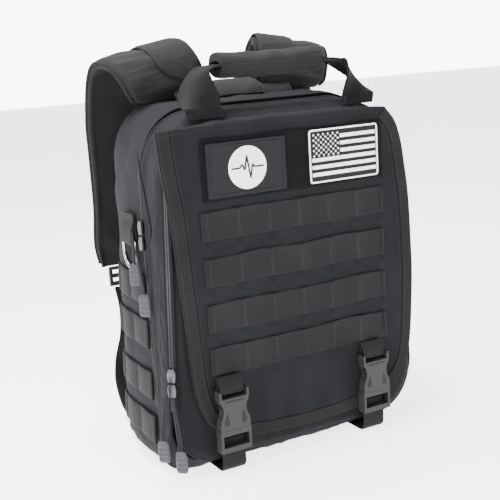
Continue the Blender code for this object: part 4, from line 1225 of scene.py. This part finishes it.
for word, x in BUCKLE_X.items():
    polish(f"buckle_female_{word}", LOOKS["acetal"], 0.7 * MM)
    polish(f"buckle_male_{word}", LOOKS["acetal"], 0.6 * MM)
    for where in "ab":
        polish(f"prong_{word}_{where}", LOOKS["acetal"], 0.5 * MM)
    made = strap(f"buckle_loop_{word}", upright(x, LOOP_KNOTS), RIGHT, 12 * MM, 0.55 * MM, LOOKS["webbing"])
    put(made, "flap", "webbing", f"buckle_webbing_{word}")
    path = upright(x, CLOSING_KNOTS)
    made = strap(f"closing_strap_{word}", path, RIGHT, 12 * MM, 0.75 * MM, LOOKS["webbing"])
    put(made, "front_cover", "webbing", f"closure_webbing_{word}")
    under = xyz(x, ANCHOR[:, 0], ANCHOR[:, 1])
    made = strap(f"closing_anchor_{word}", under, RIGHT, 12 * MM, 0.75 * MM, LOOKS["webbing"])
    put(made, "front_bag", "webbing")
    # Thin dark sheets over the buckle's drop-shaped and slot windows are painted shade: the black coil finish
    # stands in for the shade inside the openings.
    windows = [DROP[::side] * (side, 1) + (x, 0) for side in (-1, 1)] + [SLOT + (x, 0)]
    put(raised(f"buckle_window_shade_{word}", windows, -94.42 * MM, 0.14 * MM, LOOKS["coil"]), "flap", None)
print("2 buckles")

# %% [markdown]
# ## Handle
# Inch-and-a-half webbing comes out of the top seam, bows outwards and is folded into a padded sleeve.

# %%
# Handle
leg = curve(np.array([(78, -73.2, 322.2), (81, -70, 331), (83, -64, 343), (80, -55, 355),
                      (68, -47, 363.5), (52, -43.4, 365.8)]) * MM, 60)
share = np.linspace(0, 1, 60)
turn = np.clip((share - 0.2) / 0.6, 0, 1) * math.pi / 2
across = xyz(np.cos(turn), np.sin(turn), -0.5 * np.sin(2 * turn))
wide = np.interp(share, (0, 0.8, 0.96, 1), (18, 17.5, 13, 10)) * MM
path = np.vstack([leg * (-1, 1, 1), leg[::-1]])
sides = np.vstack([across * (1, -1, -1), -across[::-1]])
SLEEVE_Y, SLEEVE_Z, SLEEVE_HALF = -43 * MM, 366 * MM, 53 * MM


def curl(t, a, w):
    """The webbing's edges curl between the top seam and the sleeve, in a slow wave."""
    from_middle = np.abs(t - 0.5)
    free = smooth(from_middle, 0.12, 0.3) * (1 - smooth(from_middle, 0.42, 0.5))
    return 1.0 * MM * np.cos(a / w * 3.1 + 2.5 * np.sin(t * 9)) * free


strip = strap("handle_strap", path, sides, np.concatenate([wide, wide[::-1]]), 1.1 * MM, LOOKS["satin"],
              flat=20, lift=curl)
put(strip, "handle", "webbing", "handle_webbing")


def sleeve():
    """A padded tube with open ends, flattened a little and gathered where it ends."""
    x = np.linspace(-53, 53, 80) * MM
    u, v = np.meshgrid(np.linspace(0, TAU, 60, endpoint=False), x)
    end = np.clip(np.abs(x) / SLEEVE_HALF, 0, 1)[:, None]
    swell = np.interp(end, (0, 0.6, 0.93, 1), (1.04, 1.03, 1.05, 1.0))
    gathers = 0.03 * np.cos(u * 9 + 3 * ripple(u, v, 71, 0.5)) * smooth(end, 0.6, 1.0)
    swell = swell * (1 + gathers + 0.035 * ripple(u * 0.02, v, 72, 30 * MM))
    sag = -1.2 * MM * (1 - end ** 2)
    outer = xyz(v, SLEEVE_Y + 13 * MM * swell * np.cos(u), SLEEVE_Z + sag + 11 * MM * swell * np.sin(u))
    inner = xyz(v, SLEEVE_Y + 10.4 * MM * np.cos(u), SLEEVE_Z + 3.8 * MM * np.sin(u))[::-1]
    grid = np.concatenate([outer, inner])
    return surface("handle_sleeve", grid, LOOKS["nylon_lit"], round_rows=True, sharp=50)


grip = put(sleeve(), "handle", "fabric", "handle_grip")
seam = xyz(np.linspace(-50, 50, 60) * MM, SLEEVE_Y - 13.6 * MM, SLEEVE_Z)
sew("sleeve_stitches", [(seam, FORWARD)], LOOKS["thread"], "handle", 3 * MM, 0.3 * MM)
z = np.linspace(323, 338, 12) * MM
y = np.interp(z, leg[:, 2], leg[:, 1]) - 1.3 * MM
FOOT = 80 * MM
feet = [(xyz(side * FOOT + dx * MM, y, z), (0, -1, 0.3)) for side in (-1, 1) for dx in (-15, 15)]
sew("handle_tacks", feet, LOOKS["thread"], "handle", 2 * MM, 0.35 * MM)
print("handle:", len(grip.data.polygons), "faces")

# %% [markdown]
# ## Shoulder straps
# Foam between two layers of nylon with a bound edge; it stands up over its crest because the foam is
# stiff. A second panel is sewn on at the shoulder. Below, webbing runs from an adjuster to the bag.

# %%
# Shoulder straps
ROUTE = np.array([(66, 33, 334.4, 38), (69, 28.5, 346, 40), (74, 33, 363, 42), (80, 45, 377, 43),
                  (86, 64, 379, 43), (88, 82, 362, 42), (90, 94, 325, 40), (92, 100, 275, 36),
                  (95, 104, 228, 32), (99, 109, 190, 29), (100, 110, 165, 24)]) * MM


def shoulder(hand, word):
    """A padded strap along ROUTE, with its bindings, its stitches and the panel over its crest.
    The padding is thinner beside the edges; creases fade out below the crest."""
    body = f"shoulder_strap_{word}"
    line = curve(ROUTE, 170)
    path, half = line[:, :3] * (hand, 1, 1), line[:, 3]
    share = np.linspace(0, 1, 170)
    tip = 0.16 * np.clip((path[:, 2] - 300 * MM) / (30 * MM), 0, 1) * smooth(share, 0, 0.14)
    across = xyz(1.0, 0, -hand * tip)
    thick = np.interp(share, (0, 0.03, 0.1, 0.92, 0.98, 1), (1.6, 2.6, 4.0, 4.0, 2.6, 1.6)) * MM

    def puff(t, a, w):
        """Thinner at the seam, creased over the crest and softly uneven."""
        edge = np.clip(1 - np.abs(a) / w, 0, 1)
        seam = -2.4 * MM * (1 - smooth(edge, 0.0, 0.22))
        crest = 0.5 * MM * creases(t * 0.5 + 0 * a, a, 80 + hand, 60 * MM, 0.5) * (1 - smooth(t, 0.4, 0.6))
        soft = 0.7 * MM * ripple(t * 0.5 + 0 * a, a + 0 * t, 84 + hand, 45 * MM)
        return seam + (crest + soft) * smooth(edge, 0.05, 0.3)

    made = strap(f"shoulder_pad_{word}", path, across, half, thick, LOOKS["nylon_lit"], flat=34, lift=puff)
    put(made, body, "strap_fabric", f"shoulder_strap_{word}")
    across = unit(across)
    out = unit(np.cross(across, slope(path)))
    for name, sign in (("inner", -1), ("outer", 1)):
        edge = path + across * (sign * (half - 0.5 * MM))[:, None]
        put(tube(f"strap_binding_{word}_{name}", edge[3:-3], 2.1 * MM, LOOKS["tape"], 12), body, None)
    runs = []
    for sign in (-1, 1):
        inset = path + across * (sign * (half - 5 * MM))[:, None]
        runs.append((inset[6:-6] + out[6:-6] * 3.1 * MM, out[6:-6]))
    sew(f"strap_stitches_{word}", runs, LOOKS["thread"], body, 3.4 * MM, 0.32 * MM)
    fine = slice(22, 100)
    wide = 0.50 * half[fine]
    ease = np.interp(np.arange(78), (0, 5, 12, 77), (0.3, 0.75, 1, 1))
    lifted = path[fine] + out[fine] * 5.2 * MM - across[fine] * hand * (0.46 * half[fine])[:, None]

    def soft(t, a, w):
        """A low swelling with a few folds."""
        edge = np.clip(1 - np.abs(a) / w, 0, 1)
        fold = 0.4 * MM * creases(t * 0.22 + 0 * a, a, 90 + hand, 50 * MM, 0.5)
        return (0.8 * MM * smooth(edge, 0, 0.3) + fold) * smooth(edge, 0, 0.2)

    panel = strap(f"strap_panel_{word}", lifted, across[fine], wide * ease, 1.0 * MM, LOOKS["nylon_lit"],
                  flat=24, lift=soft)
    put(panel, body, "strap_fabric", f"strap_overlay_{word}")


LOWER = np.array([(112, 73.6, 14), (112, 88, 22), (111, 102, 42), (108, 103, 66), (104, 93, 96),
                  (101, 97, 122), (100, 108, 141.5)]) * MM
for hand, word in SIDES:
    shoulder(hand, word)
    polish(f"adjuster_{word}", LOOKS["acetal"], 0.6 * MM)
    path = curve(LOWER, 130) * (hand, 1, 1)
    webbing = strap(f"lower_strap_{word}", path, RIGHT, 12.4 * MM, 0.75 * MM, LOOKS["webbing"])
    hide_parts(f"lower_webbing_{word}")
    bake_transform(webbing)
print("2 shoulder straps")

# %% [markdown]
# ## Back pad and yoke
# The pad against the wearer's back is mesh over foam. It is blown up as cloth from a slightly small
# shape, so its face swells and its edge pulls in. The yoke between the straps is a padded hump.

# %%
# Back pad and yoke


CLOTH_FRAMES = 20


def inflate(made, voxel, pressure, cap):
    """Swell a closed mesh as cloth, and let no point move farther than cap."""
    remesh = made.modifiers.new("remesh", "REMESH")
    remesh.mode = "VOXEL"
    remesh.voxel_size = voxel
    bpy.context.view_layer.objects.active = made
    bpy.ops.object.modifier_apply(modifier="remesh")
    start = np.empty(3 * len(made.data.vertices))
    made.data.vertices.foreach_get("co", start)
    cloth = made.modifiers.new("cloth", "CLOTH")
    cloth.settings.use_pressure = True
    cloth.settings.uniform_pressure_force = pressure
    cloth.settings.effector_weights.gravity = 0
    for number in range(1, CLOTH_FRAMES + 1):
        bpy.context.scene.frame_set(number)
    bpy.ops.object.modifier_apply(modifier="cloth")
    bpy.context.scene.frame_set(1)
    swollen = np.empty_like(start)
    made.data.vertices.foreach_get("co", swollen)
    move = (swollen - start).reshape(-1, 3)
    far = np.linalg.norm(move, axis=1, keepdims=True)
    move = move * np.minimum(1, cap / np.maximum(far, 1e-9))
    made.data.vertices.foreach_set("co", (start.reshape(-1, 3) + move).ravel())
    made.data.update()
    made.data.shade_smooth()
    fine = made.modifiers.new("smooth", "SUBSURF")
    fine.levels = fine.render_levels = 1
    return made


def pad_outline(inset, count=160):
    """A rounded rectangle as (x, z) points at even distances."""
    half, low, top = 97 * MM - inset, 37 * MM + inset, 295 * MM - inset
    radius = max(28 * MM - inset, 6 * MM)
    points = []
    for cx, cz, start in ((half - radius, low + radius, -90), (half - radius, top - radius, 0),
                          (radius - half, top - radius, 90), (radius - half, low + radius, 180)):
        angles = np.radians(start + np.linspace(0, 90, 14))
        points.append(np.stack([cx + radius * np.cos(angles), cz + radius * np.sin(angles)], axis=1))
    ring = np.vstack(points + [points[0][:1]])
    return even(ring, count + 1)[:-1]


def cushion():
    """The pad before it swells: outlines at rising depth, the later ones drawn in to the middle."""
    steps = ((72.6, 2.0), (72.6, 1.0), (74.0, 0.4), (77.0, 1.0), (79.0, 5.0), (80.2, 11.0), (80.4, 22.0),
             (80.4, 40.0), (80.4, 60.0), (80.4, 80.0))
    rows = [at_depth(pad_outline(inset * MM), y * MM) for y, inset in steps]
    return surface("back_cushion", np.stack(rows), LOOKS["mesh"], sharp=60)


cushion_made = inflate(cushion(), 5 * MM, 4.0, 3 * MM)
put(cushion_made, "rear_bag", "mesh_pad", "back_pad")
ring = at_depth(pad_outline(1.5 * MM, 240), 74.2 * MM)
put(tube("back_pad_piping", ring, 1.6 * MM, LOOKS["tape"], closed=True), "rear_bag", None)


def yoke():
    """A padded hump across the top, between the roots of the straps."""
    arc = ((13, 334.6), (17, 339.5), (24, 344.5), (34, 347.5),
           (46, 346.5), (56, 341.5), (63, 334.5), (67, 327))

    def puff(t, a, w):
        """Uneven padding with two seams, lower beside the straps."""
        off = np.abs(a)
        seams = 1.1 * MM * np.exp(-((off - 21 * MM) / (1.6 * MM)) ** 2)
        beside_straps = 4.5 * MM * smooth(off, 23 * MM, 34 * MM)
        return 0.6 * MM * ripple(t * 0.08 + 0 * a, a + 0 * t, 95, 40 * MM) - seams - beside_straps

    return strap("top_yoke", upright(0, arc, 60), RIGHT, 64 * MM, 2.2 * MM, LOOKS["nylon_lit"],
                 flat=70, lift=puff)


pad = put(yoke(), "rear_bag", "strap_fabric", "strap_yoke")
polish("frame_sheet", LOOKS["sheet"], 0)
print("back pad:", len(cushion_made.data.polygons), "faces")
